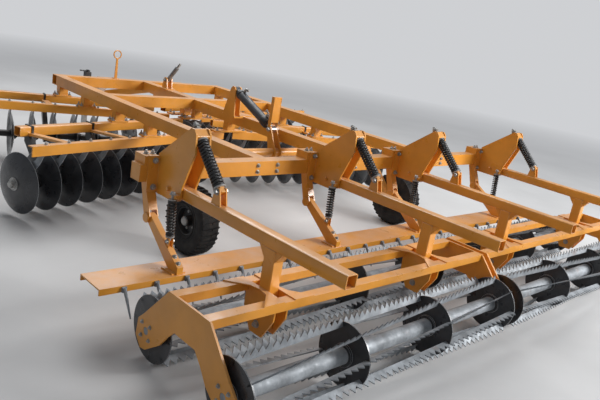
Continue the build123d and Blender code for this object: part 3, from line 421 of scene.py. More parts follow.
def drum(bm, origin, axis, start, end, radius, segments=32, chamfer=0.0, bore=0.0):
    """A round piece from start to end along an axis, with its edges cut and a bore if they are given."""
    rim = [(start, radius), (end, radius)]
    if chamfer:
        rim = [(start, radius - chamfer), (start + chamfer, radius),
               (end - chamfer, radius), (end, radius - chamfer)]
    turned(bm, [(start, bore), *rim, (end, bore)], origin, axis, segments, closed=bore > 0)


def tube(bm, points, radius, segments=10):
    """A closed round bar along points; the radius is one value or one for each point."""
    first = None
    rings = []
    for i, point in enumerate(points):
        way = (points[min(i + 1, len(points) - 1)] - points[max(i - 1, 0)]).normalized()
        if first is None:
            first, second = side_axes(way)
        else:
            first = (first - way * first.dot(way)).normalized()
            second = way.cross(first)
        size = radius[i] if isinstance(radius, list) else radius
        rings.append([
            bm.verts.new(round_point(point, first, second, size, 2 * math.pi * k / segments))
            for k in range(segments)
        ])
    capped(bm, rings)


def block(bm, centre, size, axes=None, chamfer=0.0):
    """A block with chamfered edges; axes are its own three directions."""
    axes = axes or (SIDEWAYS, AHEAD, UP)
    made = bmesh.ops.create_cube(bm, size=1.0)["verts"]
    for v in made:
        v.co = centre + sum((axes[i] * (v.co[i] * size[i]) for i in range(3)), Vector())
    if chamfer:
        edges = list({e for v in made for e in v.link_edges})
        bmesh.ops.bevel(bm, geom=edges, offset=chamfer, segments=1, affect="EDGES", profile=0.5)


def plate(bm, outline, origin, first, second, thick):
    """A flat plate cut to an outline of (first, second) steps, as thick as the vector given."""
    low = [bm.verts.new(origin + first * a + second * b) for a, b in outline]
    capped(bm, [low, [bm.verts.new(v.co + thick) for v in low]])


def square_tube(bm, start, way, length, across, size, wall, rounding=0.008):
    """A square tube with rounded corners, open at both ends."""
    up = way.cross(across)
    rings = []
    for along, shrink in ((0.0, 0.0), (length, 0.0), (length, wall), (0.0, wall)):
        half = size / 2 - shrink
        corner = max(rounding - shrink, 0.002)
        ring = []
        for quarter, (a, b) in enumerate(((1, 1), (-1, 1), (-1, -1), (1, -1))):
            for step in range(4):
                bend = start + way * along + (across * a + up * b) * (half - corner)
                angle = math.pi / 2 * (quarter + step / 3)
                ring.append(bm.verts.new(round_point(bend, across, up, corner, angle)))
        rings.append(ring)
    skin(bm, rings + rings[:1])


# Bolts by where they sit: a head's size and how far its thread stands out
BOLTS = {
    "gang_end": (0.022, 0.0), "band": (0.008, 0.010), "scraper": (0.0085, 0.008),
    "bracket": (0.0095, 0.016), "spring_rod": (0.0145, 0.0), "spring_pin": (0.011, 0.0),
    "level_rod": (0.011, 0.0), "level_pin": (0.008, 0.0), "wheel": (0.009, 0.0),
    "clamp_face": (0.011, 0.008), "clamp": (0.010, 0.010), "arm_pin": (0.010, 0.0),
    "post_pin": (0.012, 0.006), "level_arm": (0.008, 0.004), "main_beam": (0.009, 0.005),
    "roller_bearing": (0.0065, 0.003), "lever_pin": (0.012, 0.003), "port": (0.011, 0.0),
    "elbow": (0.0085, 0.0), "screw_pin": (0.011, 0.004),
}


def bolt(bm, place, axis, kind):
    """A washer and a hexagon head or nut seated at place, with its thread's end where one stands out."""
    size, stud = BOLTS[kind]
    axis = axis.normalized()
    washer, flat, top = size * 0.28, size * 1.28, size * 1.52
    drum(bm, place, axis, 0.0, washer, size * 1.75, 14)
    turned(bm, [(washer, 0.0), (washer, flat), (size * 1.30, flat), (top, size * 1.02), (top, 0.0)],
           place, axis, 6)
    if stud:
        root, thread = size * 1.5, size * 0.62
        turned(bm, [(root, thread), (root + stud, thread), (root + stud, 0.0)], place, axis, 10)


def welds(bm, points, radius=0.0035, ripple=0.004):
    """A rippled weld bead along straight runs between points."""
    beads = []
    for one, two in zip(points, points[1:]):
        steps = max(2, round((two - one).length / ripple))
        beads += [one.lerp(two, k / steps) for k in range(steps)]
    beads.append(points[-1])
    tube(bm, beads, [radius * (0.82 + 0.30 * (k % 2)) for k in range(len(beads))], 6)


def coil(bm, low, high, radius, wire, turns, per_turn=22):
    """A compression spring between two points, closed at both ends."""
    axis = high - low
    length = axis.length
    axis.normalize()
    first, second = side_axes(axis)
    end_turn = 0.75
    points = []
    for k in range(int((turns + 2 * end_turn) * per_turn) + 1):
        turn = k / per_turn
        open_part = min(max((turn - end_turn) / turns, 0.0), 1.0)
        centre = low + axis * (wire + (length - 2 * wire) * open_part)
        points.append(round_point(centre, first, second, radius, 2 * math.pi * turn))
    tube(bm, points, wire, 8)


def finished(name, bm, body, slot, smooth_angle=35, replaces=()):
    """Turns a mesh into a piece that rides on a body, in one of the record's finishes."""
    bmesh.ops.recalc_face_normals(bm, faces=bm.faces)
    mesh = bpy.data.meshes.new(name)
    bm.to_mesh(mesh)
    bm.free()
    if smooth_angle:
        mesh.shade_smooth()
        mesh.set_sharp_from_angle(angle=math.radians(smooth_angle))
    mesh.materials.append(MATERIALS[slot])
    piece = bpy.data.objects.new(name, mesh)
    bpy.context.scene.collection.objects.link(piece)
    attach(piece, body)
    for node in replaces:
        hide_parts(node)


class MachineOperator(bpy.types.Operator):
    """Base of the operators that make the machine's pieces"""

    bl_options = {"REGISTER", "UNDO"}


class TILLAGE_OT_finishes(MachineOperator):
    """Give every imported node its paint, steel or rubber"""

    bl_idname = "tillage.finishes"
    bl_label = "Finishes"

    def execute(self, context):
        make_materials()
        for part in frame["record"]["subparts"]:
            node = frame["nodes"][part["node"]]
            node.data.materials.clear()
            dark = part["node"].endswith("_rim")
            node.data.materials.append(MATERIALS["black_paint" if dark else part["material_slot"]])
        return {"FINISHED"}


# Rollers

ROLLER = {"disc": 0.174, "tube": 0.045, "axle": 0.020, "axle_edge": 0.002, "tip": 0.197, "bar": 0.052,
          "thick": 0.006, "bars": 8, "bays": 3, "bay_twist": math.radians(16), "side_plate": 0.012,
          "end_gap": 0.022, "boss": 0.062, "boss_stand": 0.012}


def saw_bar(bm, start, length, start_angle, twist):
    """One flat bar twisted round a roller, its outer edge cut into saw teeth."""
    chosen = settings()
    teeth = round(length / chosen.tooth_pitch)
    inner = ROLLER["tip"] - ROLLER["bar"]
    root = ROLLER["tip"] - chosen.tooth_depth

    def section(step):
        """The bar's four corners at the tip or root of a tooth."""
        share = step / (2 * teeth)
        angle = start_angle + twist * share
        radial = Vector((0, math.cos(angle), math.sin(angle)))
        half = Vector((0, -math.sin(angle), math.cos(angle))) * (ROLLER["thick"] / 2)
        spot = start + SIDEWAYS * (length * share)
        outer = ROLLER["tip"] if step % 2 else root
        corners = ((inner, -1), (outer, -1), (outer, 1), (inner, 1))
        return [bm.verts.new(spot + radial * radius + half * way) for radius, way in corners]

    capped(bm, [section(step) for step in range(2 * teeth + 1)])


def make_roller(node, sign):
    """One roller: its axle and tube, its discs with bosses, and its saw bars."""
    low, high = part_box(node)
    _, y, z = JOINTS[f"{node}_spin"]["pos_m"]
    end, run = Vector((low.x, y, z)), high.x - low.x
    first = ROLLER["side_plate"] + ROLLER["end_gap"]
    last = run - first
    thick, stand = ROLLER["thick"], ROLLER["boss_stand"]
    core, discs, bars = bmesh.new(), bmesh.new(), bmesh.new()
    drum(core, end, SIDEWAYS, 0.0, run, ROLLER["axle"], 24, chamfer=ROLLER["axle_edge"])
    drum(core, end, SIDEWAYS, first, last, ROLLER["tube"], 40)
    for k in range(ROLLER["bays"] + 1):
        disc = first + k * (last - first - thick) / ROLLER["bays"]
        drum(discs, end, SIDEWAYS, disc, disc + thick, ROLLER["disc"], 72)
        drum(discs, end, SIDEWAYS, disc - stand, disc + thick + stand, ROLLER["boss"])
    for k in range(ROLLER["bars"]):
        saw_bar(bars, end + SIDEWAYS * first, last - first, 2 * math.pi * k / ROLLER["bars"],
                sign * ROLLER["bays"] * ROLLER["bay_twist"])
    body = f"{node}_body"
    finished(f"{node}_core", core, body, "worn_steel", replaces=(node,))
    finished(f"{node}_discs", discs, body, "disc_steel")
    finished(f"{node}_saw_bars", bars, body, "worn_steel", smooth_angle=0)


class TILLAGE_OT_rollers(MachineOperator):
    """Make the four rollers: tube, discs and twisted saw bars"""

    bl_idname = "tillage.rollers"
    bl_label = "Rollers"

    def execute(self, context):
        for side, sign in SIDES:
            for row in ROWS:
                make_roller(f"{side}_{row}_roller", sign)
        return {"FINISHED"}


# Disc gangs

DISC = {"radius": 0.235, "dish": 0.042, "curve": 1.7, "thick": 0.006, "flat": 0.060, "pitch": 0.198,
        "first": 0.050, "count": 11, "inner_x": 0.130, "bearings": (1, 5, 8)}
SPOOL = {"flare": 0.052, "waist": 0.032, "near": 0.020, "far": 0.016, "neck": 0.034}
SHAFT = {"radius": 0.016, "over": 0.038, "sleeve": 0.0472, "sleeve_half": 0.030, "washer": 0.050,
         "washer_thick": 0.006}


def gang_axes(name, sign):
    """A gang's inner end on its axis, its outward direction and the one square to it, forward."""
    joint = JOINTS[f"{name}_gang_spin"]
    out = Vector(joint["axis"]).normalized()
    on_axis = Vector(joint["pos_m"])
    inner = on_axis - out * ((abs(on_axis.x) - DISC["inner_x"]) / abs(out.x))
    return inner, out, UP.cross(out) * sign


def dished_profile(start, dish):
    """Profile of a disc whose rim stands off its flat middle along a dish and ends in a sharp edge."""
    steps = 12
    thick = DISC["thick"]
    back, front = [], []
    for k in range(steps + 1):
        share = k / steps
        radius = DISC["flat"] + (DISC["radius"] - DISC["flat"]) * share
        stand = dish * share ** DISC["curve"]
        back.append((start + stand, radius))
        front.append((start + thick + stand, radius))
    trimmed = back if dish < 0 else front
    trimmed.pop()
    return [(start, 0.0), *back, *reversed(front), (start + thick, 0.0)]


def spool_profile(start, end):
    """Profile of a spool that fills the room between two discs, flared at both ends."""
    flare, waist = SPOOL["flare"], SPOOL["waist"]
    face = start + DISC["thick"]
    return [(face, 0.0), (face, flare), (start + SPOOL["near"], flare), (start + SPOOL["neck"], waist),
            (end - SPOOL["neck"], waist), (end - SPOOL["far"], flare), (end, flare), (end, 0.0)]


def make_gang(name, sign, way):
    """One gang: dished discs on a shaft with spools, bearing sleeves and end nuts."""
    inner, out, _ = gang_axes(name, sign)
    first, last = DISC["first"], DISC["first"] + (DISC["count"] - 1) * DISC["pitch"]
    discs, core, nuts = bmesh.new(), bmesh.new(), bmesh.new()
    drum(core, inner, out, first - SHAFT["over"], last + SHAFT["over"], SHAFT["radius"], 16)
    for i in range(DISC["count"]):
        start = first + i * DISC["pitch"]
        end = start + DISC["pitch"]
        turned(discs, dished_profile(start, DISC["dish"] * way), inner, out, 72)
        if i + 1 < DISC["count"]:
            turned(core, spool_profile(start, end), inner, out, 28)
        if i in DISC["bearings"]:
            place, half = (start + end) / 2, SHAFT["sleeve_half"]
            drum(core, inner, out, place - half, place + half, SHAFT["sleeve"])
    for end, facing in ((first, -1), (last + DISC["thick"], 1)):
        washer = facing * SHAFT["washer_thick"]
        drum(nuts, inner + out * end, out, 0.0, washer, SHAFT["washer"])
        bolt(nuts, inner + out * (end + washer), out * facing, "gang_end")
    finished(f"{name}_end_nuts", nuts, f"{name}_gang", "zinc")
    finished(f"{name}_discs", discs, f"{name}_gang", "disc_steel", 50, replaces=(f"{name}_disc_gang",))
    finished(f"{name}_spools", core, f"{name}_gang", "black_paint", 40)


class TILLAGE_OT_gangs(MachineOperator):
    """Make the four disc gangs: shaft, spools, bearing sleeves, dished discs and end nuts"""

    bl_idname = "tillage.gangs"
    bl_label = "Disc gangs"

    def execute(self, context):
        for gang in GANGS:
            make_gang(*gang)
        return {"FINISHED"}


# Gang frames: outlines are of (distance ahead of the gang's axis, height over the floor)

GANG_FRAME = {"half_gap": 0.270, "tube": 0.075, "wall": 0.005, "beam_run": 1.84, "angle_run": 2.12,
              "flange": 0.052, "leaf": 0.008}
TIE = {"width": 0.060, "front": (0.560, 0.580), "rear": (0.616, 0.598)}
HOUSING = {"half": 0.026, "radius": 0.070, "bore": 0.0485, "chamfer": 0.004}
BAND = {"width": 0.018, "thick": 0.006, "chamfer": 0.001, "leg": 0.030}
STANDARD_THICK = 0.044
STANDARD_OUTLINE = ((0.298, 0.553), (0.240, 0.553), (0.200, 0.480), (0.030, 0.322), (0.064, 0.284),
                    (0.240, 0.430), (0.298, 0.505))
SCRAPER = {"thick": 0.005, "off": {1: 0.056, -1: -0.060}, "bolt_off": 0.020, "bolt_in": 0.030}
SCRAPER_OUTLINE = ((-0.296, 0.621), (-0.256, 0.621), (-0.150, 0.480), (-0.085, 0.440), (-0.115, 0.365),
                   (-0.195, 0.455))
BRACKET = {"plate": 0.016, "reach": 0.065, "centre_reach": 0.160, "bend_x": 0.170, "bolt": 0.030}


def band_clamp(black, nuts, centre, out, ahead):
    """A band round a gang's beam, with a nut under each of its legs."""
    reach, band = GANG_FRAME["tube"] / 2, BAND["thick"]
    full = 2 * (reach + band)
    for a, b in ((0, 1), (0, -1), (1, 0), (-1, 0)):
        size = (BAND["width"], band if a else full, band if b else full)
        strip = centre + (ahead * a + UP * b) * (reach + band / 2)
        block(black, strip, size, (out, ahead, UP), BAND["chamfer"])
    for way in BOTH:
        bolt(nuts, centre + ahead * (way * BAND["leg"]) - UP * (reach + band), -UP, "band")


def make_gang_frame(nuts, name, sign, way):
    """One gang's beam and scraper rail, with its ties, bearing standards, bands and scrapers."""
    inner, out, ahead = gang_axes(name, sign)
    ground = Vector((inner.x, inner.y, 0))
    beams, black, steel = bmesh.new(), bmesh.new(), bmesh.new()
    size, leaf, flange = GANG_FRAME["tube"], GANG_FRAME["leaf"], GANG_FRAME["flange"]
    beam = ground + ahead * GANG_FRAME["half_gap"] + UP * (GANG_TOP - size / 2)
    square_tube(beams, beam, out, GANG_FRAME["beam_run"], ahead, size, GANG_FRAME["wall"])
    back = -GANG_FRAME["half_gap"] - size / 2
    angle = ((back, GANG_TOP - size), (back + leaf, GANG_TOP - size), (back + leaf, GANG_TOP - leaf),
             (back + flange, GANG_TOP - leaf), (back + flange, GANG_TOP), (back, GANG_TOP))
    plate(beams, angle, ground, ahead, UP, out * GANG_FRAME["angle_run"])
    tie = [(GANG_FRAME["half_gap"] - size / 2, z) for z in TIE["front"]]
    tie += [(back + leaf, z) for z in TIE["rear"]]
    for i in DISC["bearings"]:
        u = DISC["first"] + DISC["pitch"] * (i + 0.5)
        plate(beams, tie, ground + out * (u - TIE["width"] / 2), ahead, UP, out * TIE["width"])
        inside = ground + out * (u - STANDARD_THICK / 2)
        plate(black, STANDARD_OUTLINE, inside, ahead, UP, out * STANDARD_THICK)
        drum(black, inner + out * u, out, -HOUSING["half"], HOUSING["half"], HOUSING["radius"], 36,
             chamfer=HOUSING["chamfer"], bore=HOUSING["bore"])
        band_clamp(black, nuts, beam + out * u, out, ahead)
    for i in range(DISC["count"]):
        u = DISC["first"] + DISC["pitch"] * i + SCRAPER["off"][way]
        plate(steel, SCRAPER_OUTLINE, ground + out * u, ahead, UP, out * SCRAPER["thick"])
        seat = ground + out * (u + SCRAPER["bolt_off"]) + ahead * (back + SCRAPER["bolt_in"])
        bolt(nuts, seat + UP * GANG_TOP, UP, "scraper")
    finished(f"{name}_gang_beam", beams, "root", "orange_paint", replaces=(f"{name}_gang_frame",))
    finished(f"{name}_bearing_standards", black, "root", "black_paint")
    finished(f"{name}_scrapers", steel, "root", "worn_steel", smooth_angle=0)


def bracket_bolts(nuts):
    """Four nuts on each plate that carries a gang frame."""
    bend = BRACKET["bend_x"]
    for name in ("rear_right", "front_right"):
        joint = JOINTS[f"{name}_gang_spin"]
        slope = joint["axis"][1] / joint["axis"][0]
        joint_x, joint_y, _ = joint["pos_m"]
        for x in MAIN_BEAMS:
            reach = BRACKET["reach"] if abs(x) > bend else BRACKET["centre_reach"]
            for row in BOTH:
                y = joint_y + (max(abs(x), bend) - joint_x) * slope
                y += row * GANG_FRAME["half_gap"] * math.hypot(1.0, slope)
                for dx, dy in four(reach, BRACKET["bolt"]):
                    bolt(nuts, Vector((x + dx, y + dy, GANG_TOP + BRACKET["plate"])), UP, "bracket")


class TILLAGE_OT_gang_frames(MachineOperator):
    """Make the gang beams with their clamps, bearing standards, scraper rails and scrapers"""

    bl_idname = "tillage.gang_frames"
    bl_label = "Gang frames"

    def execute(self, context):
        nuts = bmesh.new()
        for gang in GANGS:
            make_gang_frame(nuts, *gang)
        bracket_bolts(nuts)
        finished("gang_nuts", nuts, "root", "zinc")
        return {"FINISHED"}


# Roller arms

ARM = {"width": 0.070, "wall": 0.005, "rounding": 0.009, "bite": 0.004, "post_deep": 0.078,
       "post_edge": 0.005}
ARM_PIN = {"radius": 0.015, "half": 0.052}
GUSSET = {"width": 0.058, "reach": 0.088, "foot": 0.012, "drop": 0.044, "low": 0.062}
WELD = {"half": 0.036, "sunk": 0.001}


class TILLAGE_OT_roller_arms(MachineOperator):
    """Make the four roller arms: an open square tube, a post down from it and two gussets"""

    bl_idname = "tillage.roller_arms"
    bl_label = "Roller arms"

    def execute(self, context):
        width, bite = ARM["width"], ARM["bite"]
        bottom, half = ARM_TOP - width, ARM["post_deep"] / 2
        post = bottom + bite - ARM_LOW.z
        for number, x in enumerate(TOWERS, 1):
            arm = bmesh.new()
            square_tube(arm, Vector((x, ARM_LOW.y, ARM_TOP - width / 2)), AHEAD, ARM_HIGH.y - ARM_LOW.y,
                        SIDEWAYS, width, ARM["wall"], ARM["rounding"])
            block(arm, at(x, POST_Y, ARM_LOW.z + post / 2), (width, ARM["post_deep"], post),
                  chamfer=ARM["post_edge"])
            for way in BOTH:
                outline = [(way * out, bottom + rise) for out, rise in (
                    (half - bite, bite), (GUSSET["reach"], bite), (half + GUSSET["foot"], -GUSSET["drop"]),
                    (half - bite, -GUSSET["low"]))]
                corner = at(x - GUSSET["width"] / 2, POST_Y, 0)
                plate(arm, outline, corner, AHEAD, UP, SIDEWAYS * GUSSET["width"])
            drum(arm, at(x, ARM_PIN_Y, ARM_TOP - width / 2), SIDEWAYS, -ARM_PIN["half"], ARM_PIN["half"],
                 ARM_PIN["radius"], 28)
            welds(arm, [at(x + way * WELD["half"], POST_Y - half, bottom - WELD["sunk"]) for way in BOTH])
            finished(f"roller_arm_tube_{number}", arm, "root", "orange_paint", 30,
                     replaces=(f"roller_arm_{number}",))
        return {"FINISHED"}


# Springs

TRUNNION = at(0, -0.300, BEAM_TOP + 0.248)
TRUNNION_HALF = 0.030
SPRING_FOOT = at(0, -0.550, ARM_TOP + 0.072)
SPRING = {"radius": 0.035, "seat": 0.026, "head_gap": 0.010, "cup": 0.036, "cup_thick": 0.008, "rod": 0.0105,
          "thread": 0.055, "lock_nut": 0.022, "fork_in": 0.017, "fork_thick": 0.008, "ear": 0.020,
          "block_up": 0.006, "block": (0.032, 0.040, 0.040), "block_edge": 0.003}
FORK_FOOT, FORK_EAR = 0.040, (0.020, -0.018)
LEVEL_SPRING_TOP = at(0, -0.240, BEAM_TOP - 0.118)
LEVEL_SPRING = {"radius": 0.0212, "wire": 0.0056, "turns": 11, "foot_y": -0.262, "foot_up": 0.035,
                "low": 0.040, "high": 0.020, "rod": 0.008, "rod_low": 0.010, "rod_over": 0.024,
                "nut_over": 0.012, "cup": 0.026}
LEVEL_CUPS = ((0.030, 0.038), (-0.020, -0.014))
LEVEL_LUG = {"x": 0.018, "size": (0.036, 0.044, 0.026), "ear_x": 0.013, "ear_drop": 0.004,
             "ear": (0.006, 0.030, 0.056), "pin_x": 0.016, "pin_up": 0.006}


def roller_springs():
    """The roller arms' coil springs, with rods, cups, nuts and the forks at their feet."""
    chosen = settings()
    coils, rods, forks = bmesh.new(), bmesh.new(), bmesh.new()
    way = (TRUNNION - SPRING_FOOT).normalized()
    ear_z = SPRING_FOOT.z + SPRING["ear"]
    fork = ((FORK_FOOT, ARM_TOP), (FORK_EAR[0], ear_z), (FORK_EAR[1], ear_z), (-FORK_FOOT, ARM_TOP))
    for x in TOWERS:
        foot, head = SPRING_FOOT + SIDEWAYS * x, TRUNNION + SIDEWAYS * x
        over = head + way * TRUNNION_HALF
        low, high = foot + way * SPRING["seat"], head - way * (TRUNNION_HALF + SPRING["head_gap"])
        coil(coils, low, high, SPRING["radius"] - chosen.wire, chosen.wire, chosen.coil_turns)
        for spot, facing in ((low, -1), (high, 1)):
            drum(rods, spot, way, 0.0, facing * SPRING["cup_thick"], SPRING["cup"], 28)
        tube(rods, [foot, head - way * TRUNNION_HALF], SPRING["rod"], 14)
        tube(rods, [over, over + way * SPRING["thread"]], SPRING["rod"], 14)
        for up_rod in (0.0, SPRING["lock_nut"]):
            bolt(rods, over + way * up_rod, way, "spring_rod")
        for side in BOTH:
            cheek = Vector((x + side * SPRING["fork_in"], foot.y, 0))
            plate(forks, fork, cheek, AHEAD, UP, SIDEWAYS * (side * SPRING["fork_thick"]))
            outside = side * (SPRING["fork_in"] + SPRING["fork_thick"])
            bolt(rods, foot + SIDEWAYS * outside, SIDEWAYS * side, "spring_pin")
        block(forks, foot + way * SPRING["block_up"], SPRING["block"],
              (SIDEWAYS, way.cross(SIDEWAYS), way), SPRING["block_edge"])
    finished("roller_spring_coils", coils, "root", "black_paint", 60, replaces=("roller_springs",))
    finished("roller_spring_rods", rods, "root", "zinc")
    finished("roller_spring_forks", forks, "root", "orange_paint")


def leveller_springs():
    """The leveller's upright springs, with rods, cups, nuts and lugs."""
    spring, lug = LEVEL_SPRING, LEVEL_LUG
    coils, rods, lugs = bmesh.new(), bmesh.new(), bmesh.new()
    low_node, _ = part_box("leveller_springs")
    for x in TOWERS:
        head = LEVEL_SPRING_TOP + SIDEWAYS * (x - LEVELLER_LEFT)
        foot = Vector((head.x, REAR_FACE + spring["foot_y"], low_node.z + spring["foot_up"]))
        way = (head - foot).normalized()
        coil(coils, foot + way * spring["low"], head - way * spring["high"], spring["radius"],
             spring["wire"], spring["turns"])
        tube(rods, [foot + way * spring["rod_low"], head + way * spring["rod_over"]], spring["rod"], 12)
        bolt(rods, head + way * spring["nut_over"], way, "level_rod")
        for end, (start, stop) in zip((foot, head), LEVEL_CUPS):
            drum(rods, end, way, start, stop, spring["cup"], 24)
        block(lugs, head + SIDEWAYS * lug["x"], lug["size"], chamfer=0.003)
        for side in BOTH:
            block(lugs, foot + Vector((side * lug["ear_x"], 0, -lug["ear_drop"])), lug["ear"], chamfer=0.002)
            pin = foot + Vector((side * lug["pin_x"], 0, lug["pin_up"]))
            bolt(rods, pin, SIDEWAYS * side, "level_pin")
    finished("leveller_spring_coils", coils, "root", "black_paint", 60, replaces=("leveller_springs",))
    finished("leveller_spring_rods", rods, "root", "zinc")
    finished("leveller_spring_lugs", lugs, "root", "orange_paint")


class TILLAGE_OT_springs(MachineOperator):
    """Make the coil springs of the roller arms and of the leveller, with their rods"""

    bl_idname = "tillage.springs"
    bl_label = "Springs"

    def execute(self, context):
        roller_springs()
        leveller_springs()
        return {"FINISHED"}


# Wheels: a tyre's section is in shares of its half width, over the rim or under the tread

TYRE = {"radius": 0.255, "half": 0.080, "rim": 0.105, "tread": 0.242}
SIDEWALL = ((0.70, 0.0), (0.86, 0.010), (0.97, 0.040), (1.0, 0.075))
SHOULDER = ((0.96, 0.024), (0.84, 0.005), (0.45, 0.0))
RIB = {"rises": (0.026, 0.052), "half": 0.003, "root": 0.94, "stand": 0.0015}
LUG = {"sunk": 0.028, "share": 0.30, "reach": 0.93, "shoulder_drop": 0.014}
LUG_OUTLINE = ((0.05, 0.55), (0.60, -0.10), (1.00, -0.25), (1.00, 0.50), (0.60, 0.90), (0.05, 1.45))
WHEEL_BOLTS = {"count": 5, "circle": 0.066, "out": 0.014}
HUB_CAP_OUT = 0.060
HUB_CAP = ((0.0, 0.0), (0.0, 0.034), (0.010, 0.033), (0.018, 0.024), (0.020, 0.0))


def treaded_tyre(centre):
    """A tyre with ribs on its walls and slanted lugs on both halves of its tread."""
    half, lugs = TYRE["half"], settings().lugs
    section = [(half * share, TYRE["rim"] + rise) for share, rise in SIDEWALL]
    section += [(half * share, TYRE["tread"] - drop) for share, drop in SHOULDER]
    tyre = bmesh.new()
    turned(tyre, [(-along, radius) for along, radius in section] + section[::-1], centre, SIDEWAYS, 96,
           closed=True)
    root, crown = half * RIB["root"], half + RIB["stand"]
    for rise in RIB["rises"]:
        rib = TYRE["rim"] + rise
        for face in BOTH:
            turned(tyre, [(face * root, rib - RIB["half"]), (face * crown, rib),
                          (face * root, rib + RIB["half"])], centre, SIDEWAYS, 72)
    for k in range(lugs):
        for way in BOTH:
            angle = 2 * math.pi * (k + (0.5 if way > 0 else 0.0)) / lugs
            width = 2 * math.pi / lugs * LUG["share"] * way
            rings = []
            for radius in (TYRE["tread"] - LUG["sunk"], TYRE["radius"]):
                ring = []
                for across, turn in LUG_OUTLINE:
                    drop = LUG["shoulder_drop"] if across == 1.0 and radius > TYRE["tread"] else 0.0
                    spot = centre + SIDEWAYS * (way * half * across * LUG["reach"])
                    corner = round_point(spot, AHEAD, UP, radius - drop, angle + width * turn)
                    ring.append(tyre.verts.new(corner))
                rings.append(ring)
            skin(tyre, rings)
            tyre.faces.new(rings[1])
    return tyre


def wheel_fittings(centre, sign):
    """A wheel's bolts and its hub cap."""
    fittings = bmesh.new()
    face = centre + SIDEWAYS * (sign * WHEEL_BOLTS["out"])
    for k in range(WHEEL_BOLTS["count"]):
        spot = round_point(face, AHEAD, UP, WHEEL_BOLTS["circle"], 2 * math.pi * k / WHEEL_BOLTS["count"])
        bolt(fittings, spot, SIDEWAYS * sign, "wheel")
    cap = [(sign * along, radius) for along, radius in HUB_CAP]
    turned(fittings, cap, centre + SIDEWAYS * (sign * HUB_CAP_OUT), SIDEWAYS, 28)
    return fittings


class TILLAGE_OT_wheels(MachineOperator):
    """Make the two tyres with their tread, and the hub caps and wheel bolts"""

    bl_idname = "tillage.wheels"
    bl_label = "Wheels"

    def execute(self, context):
        for side, sign in SIDES:
            centre = Vector(JOINTS[f"{side}_wheel_spin"]["pos_m"])
            finished(f"{side}_treaded_tyre", treaded_tyre(centre), f"{side}_wheel", "tyre_rubber", 40,
                     replaces=(f"{side}_tyre",))
            finished(f"{side}_wheel_bolts", wheel_fittings(centre, sign), f"{side}_wheel", "zinc")
        return {"FINISHED"}


# Bolts, pins and welds on the frame: heights are over or under the crossbeam's top

CLAMP = {"face_x": 0.008, "face_y": -0.014, "face_z": (0.030, -0.130), "half": 0.022, "top": (0.048, 0.055),
         "front": (0.114, -0.075), "weld_x": 0.034, "weld_y": (-0.012, 0.112), "weld_z": (0.005, -0.105)}
ARM_PIN_HEAD = 0.052
POST_PIN = {"x": 0.045, "z": -0.535}
LEVEL_ARM = {"bolts": (-0.330, -0.372), "y": -0.395, "z": 0.344, "slope": 0.618}
LEVEL_BOSS = {"x": -0.026, "y": -0.040, "z": -0.306}
LEVEL_BOSS_PROFILE = ((0.0, 0.0), (0.0, 0.031), (0.009, 0.031), (0.012, 0.028), (0.012, 0.0))
FLANGE = {"half": 0.087, "middle": -0.050, "rise": 0.022}
ROLLER_BEARING_HALF = 0.036
BEAM_CAP = {"size": (0.006, 0.094, 0.094), "in": 0.004, "chamfer": 0.001}


def tower_fasteners(heads, painted, x):
    """Bolts, pins, boss and welds of one tower, its clamp, its arm and its leveller arm."""
    clamp_x = x - LEVELLER_LEFT
    for z in CLAMP["face_z"]:
        bolt(heads, at(clamp_x + CLAMP["face_x"], CLAMP["face_y"], BEAM_TOP + z), -AHEAD, "clamp_face")
    for way in BOTH:
        for (y, z), facing in ((CLAMP["top"], UP), (CLAMP["front"], AHEAD)):
            bolt(heads, at(clamp_x + way * CLAMP["half"], y, BEAM_TOP + z), facing, "clamp")
        pin = at(x + way * ARM_PIN_HEAD, ARM_PIN_Y, ARM_TOP - ARM["width"] / 2)
        bolt(painted, pin, SIDEWAYS * way, "arm_pin")
        pin = at(x + way * POST_PIN["x"], POST_Y, BEAM_TOP + POST_PIN["z"])
        bolt(heads, pin, SIDEWAYS * way, "post_pin")
    slope = LEVEL_ARM["slope"]
    for y in LEVEL_ARM["bolts"]:
        seat = at(clamp_x, y, LEVEL_ARM["z"] + slope * (y - LEVEL_ARM["y"]))
        bolt(heads, seat, Vector((0, -slope, 1)), "level_arm")
    boss = at(clamp_x + LEVEL_BOSS["x"], LEVEL_BOSS["y"], BEAM_TOP + LEVEL_BOSS["z"])
    turned(painted, LEVEL_BOSS_PROFILE, boss, -SIDEWAYS, 32)
    for y in CLAMP["weld_y"]:
        welds(painted, [at(clamp_x + CLAMP["weld_x"], y, BEAM_TOP + z) for z in CLAMP["weld_z"]])


class TILLAGE_OT_fasteners(MachineOperator):
    """Add the bolts of clamps, joints, bearings and pins"""

    bl_idname = "tillage.fasteners"
    bl_label = "Fasteners"

    def execute(self, context):
        heads, painted = bmesh.new(), bmesh.new()
        for x in TOWERS:
            tower_fasteners(heads, painted, x)
        for x in MAIN_BEAMS:
            for dx, dz in four(FLANGE["half"], FLANGE["rise"]):
                bolt(heads, at(x + dx, 0.0, BEAM_TOP + FLANGE["middle"] + dz), -AHEAD, "main_beam")
        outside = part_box("right_roller_outer_plate")[1].x
        for side, way in SIDES:
            for row in ROWS:
                _, y, z = JOINTS[f"{side}_{row}_roller_spin"]["pos_m"]
                for dy, dz in four(ROLLER_BEARING_HALF, ROLLER_BEARING_HALF):
                    bolt(heads, Vector((way * outside, y + dy, z + dz)), SIDEWAYS * way, "roller_bearing")
            cap = at(way * (CROSSBEAM_HIGH.x - BEAM_CAP["in"]), BEAM / 2, BEAM_TOP - BEAM / 2)
            block(painted, cap, BEAM_CAP["size"], chamfer=BEAM_CAP["chamfer"])
        finished("frame_bolts", heads, "root", "zinc")
        finished("painted_bosses_and_caps", painted, "root", "orange_paint")
        return {"FINISHED"}


# Lift: profiles run along the cylinder from its bracket's pin, and the gland's from the barrel's end

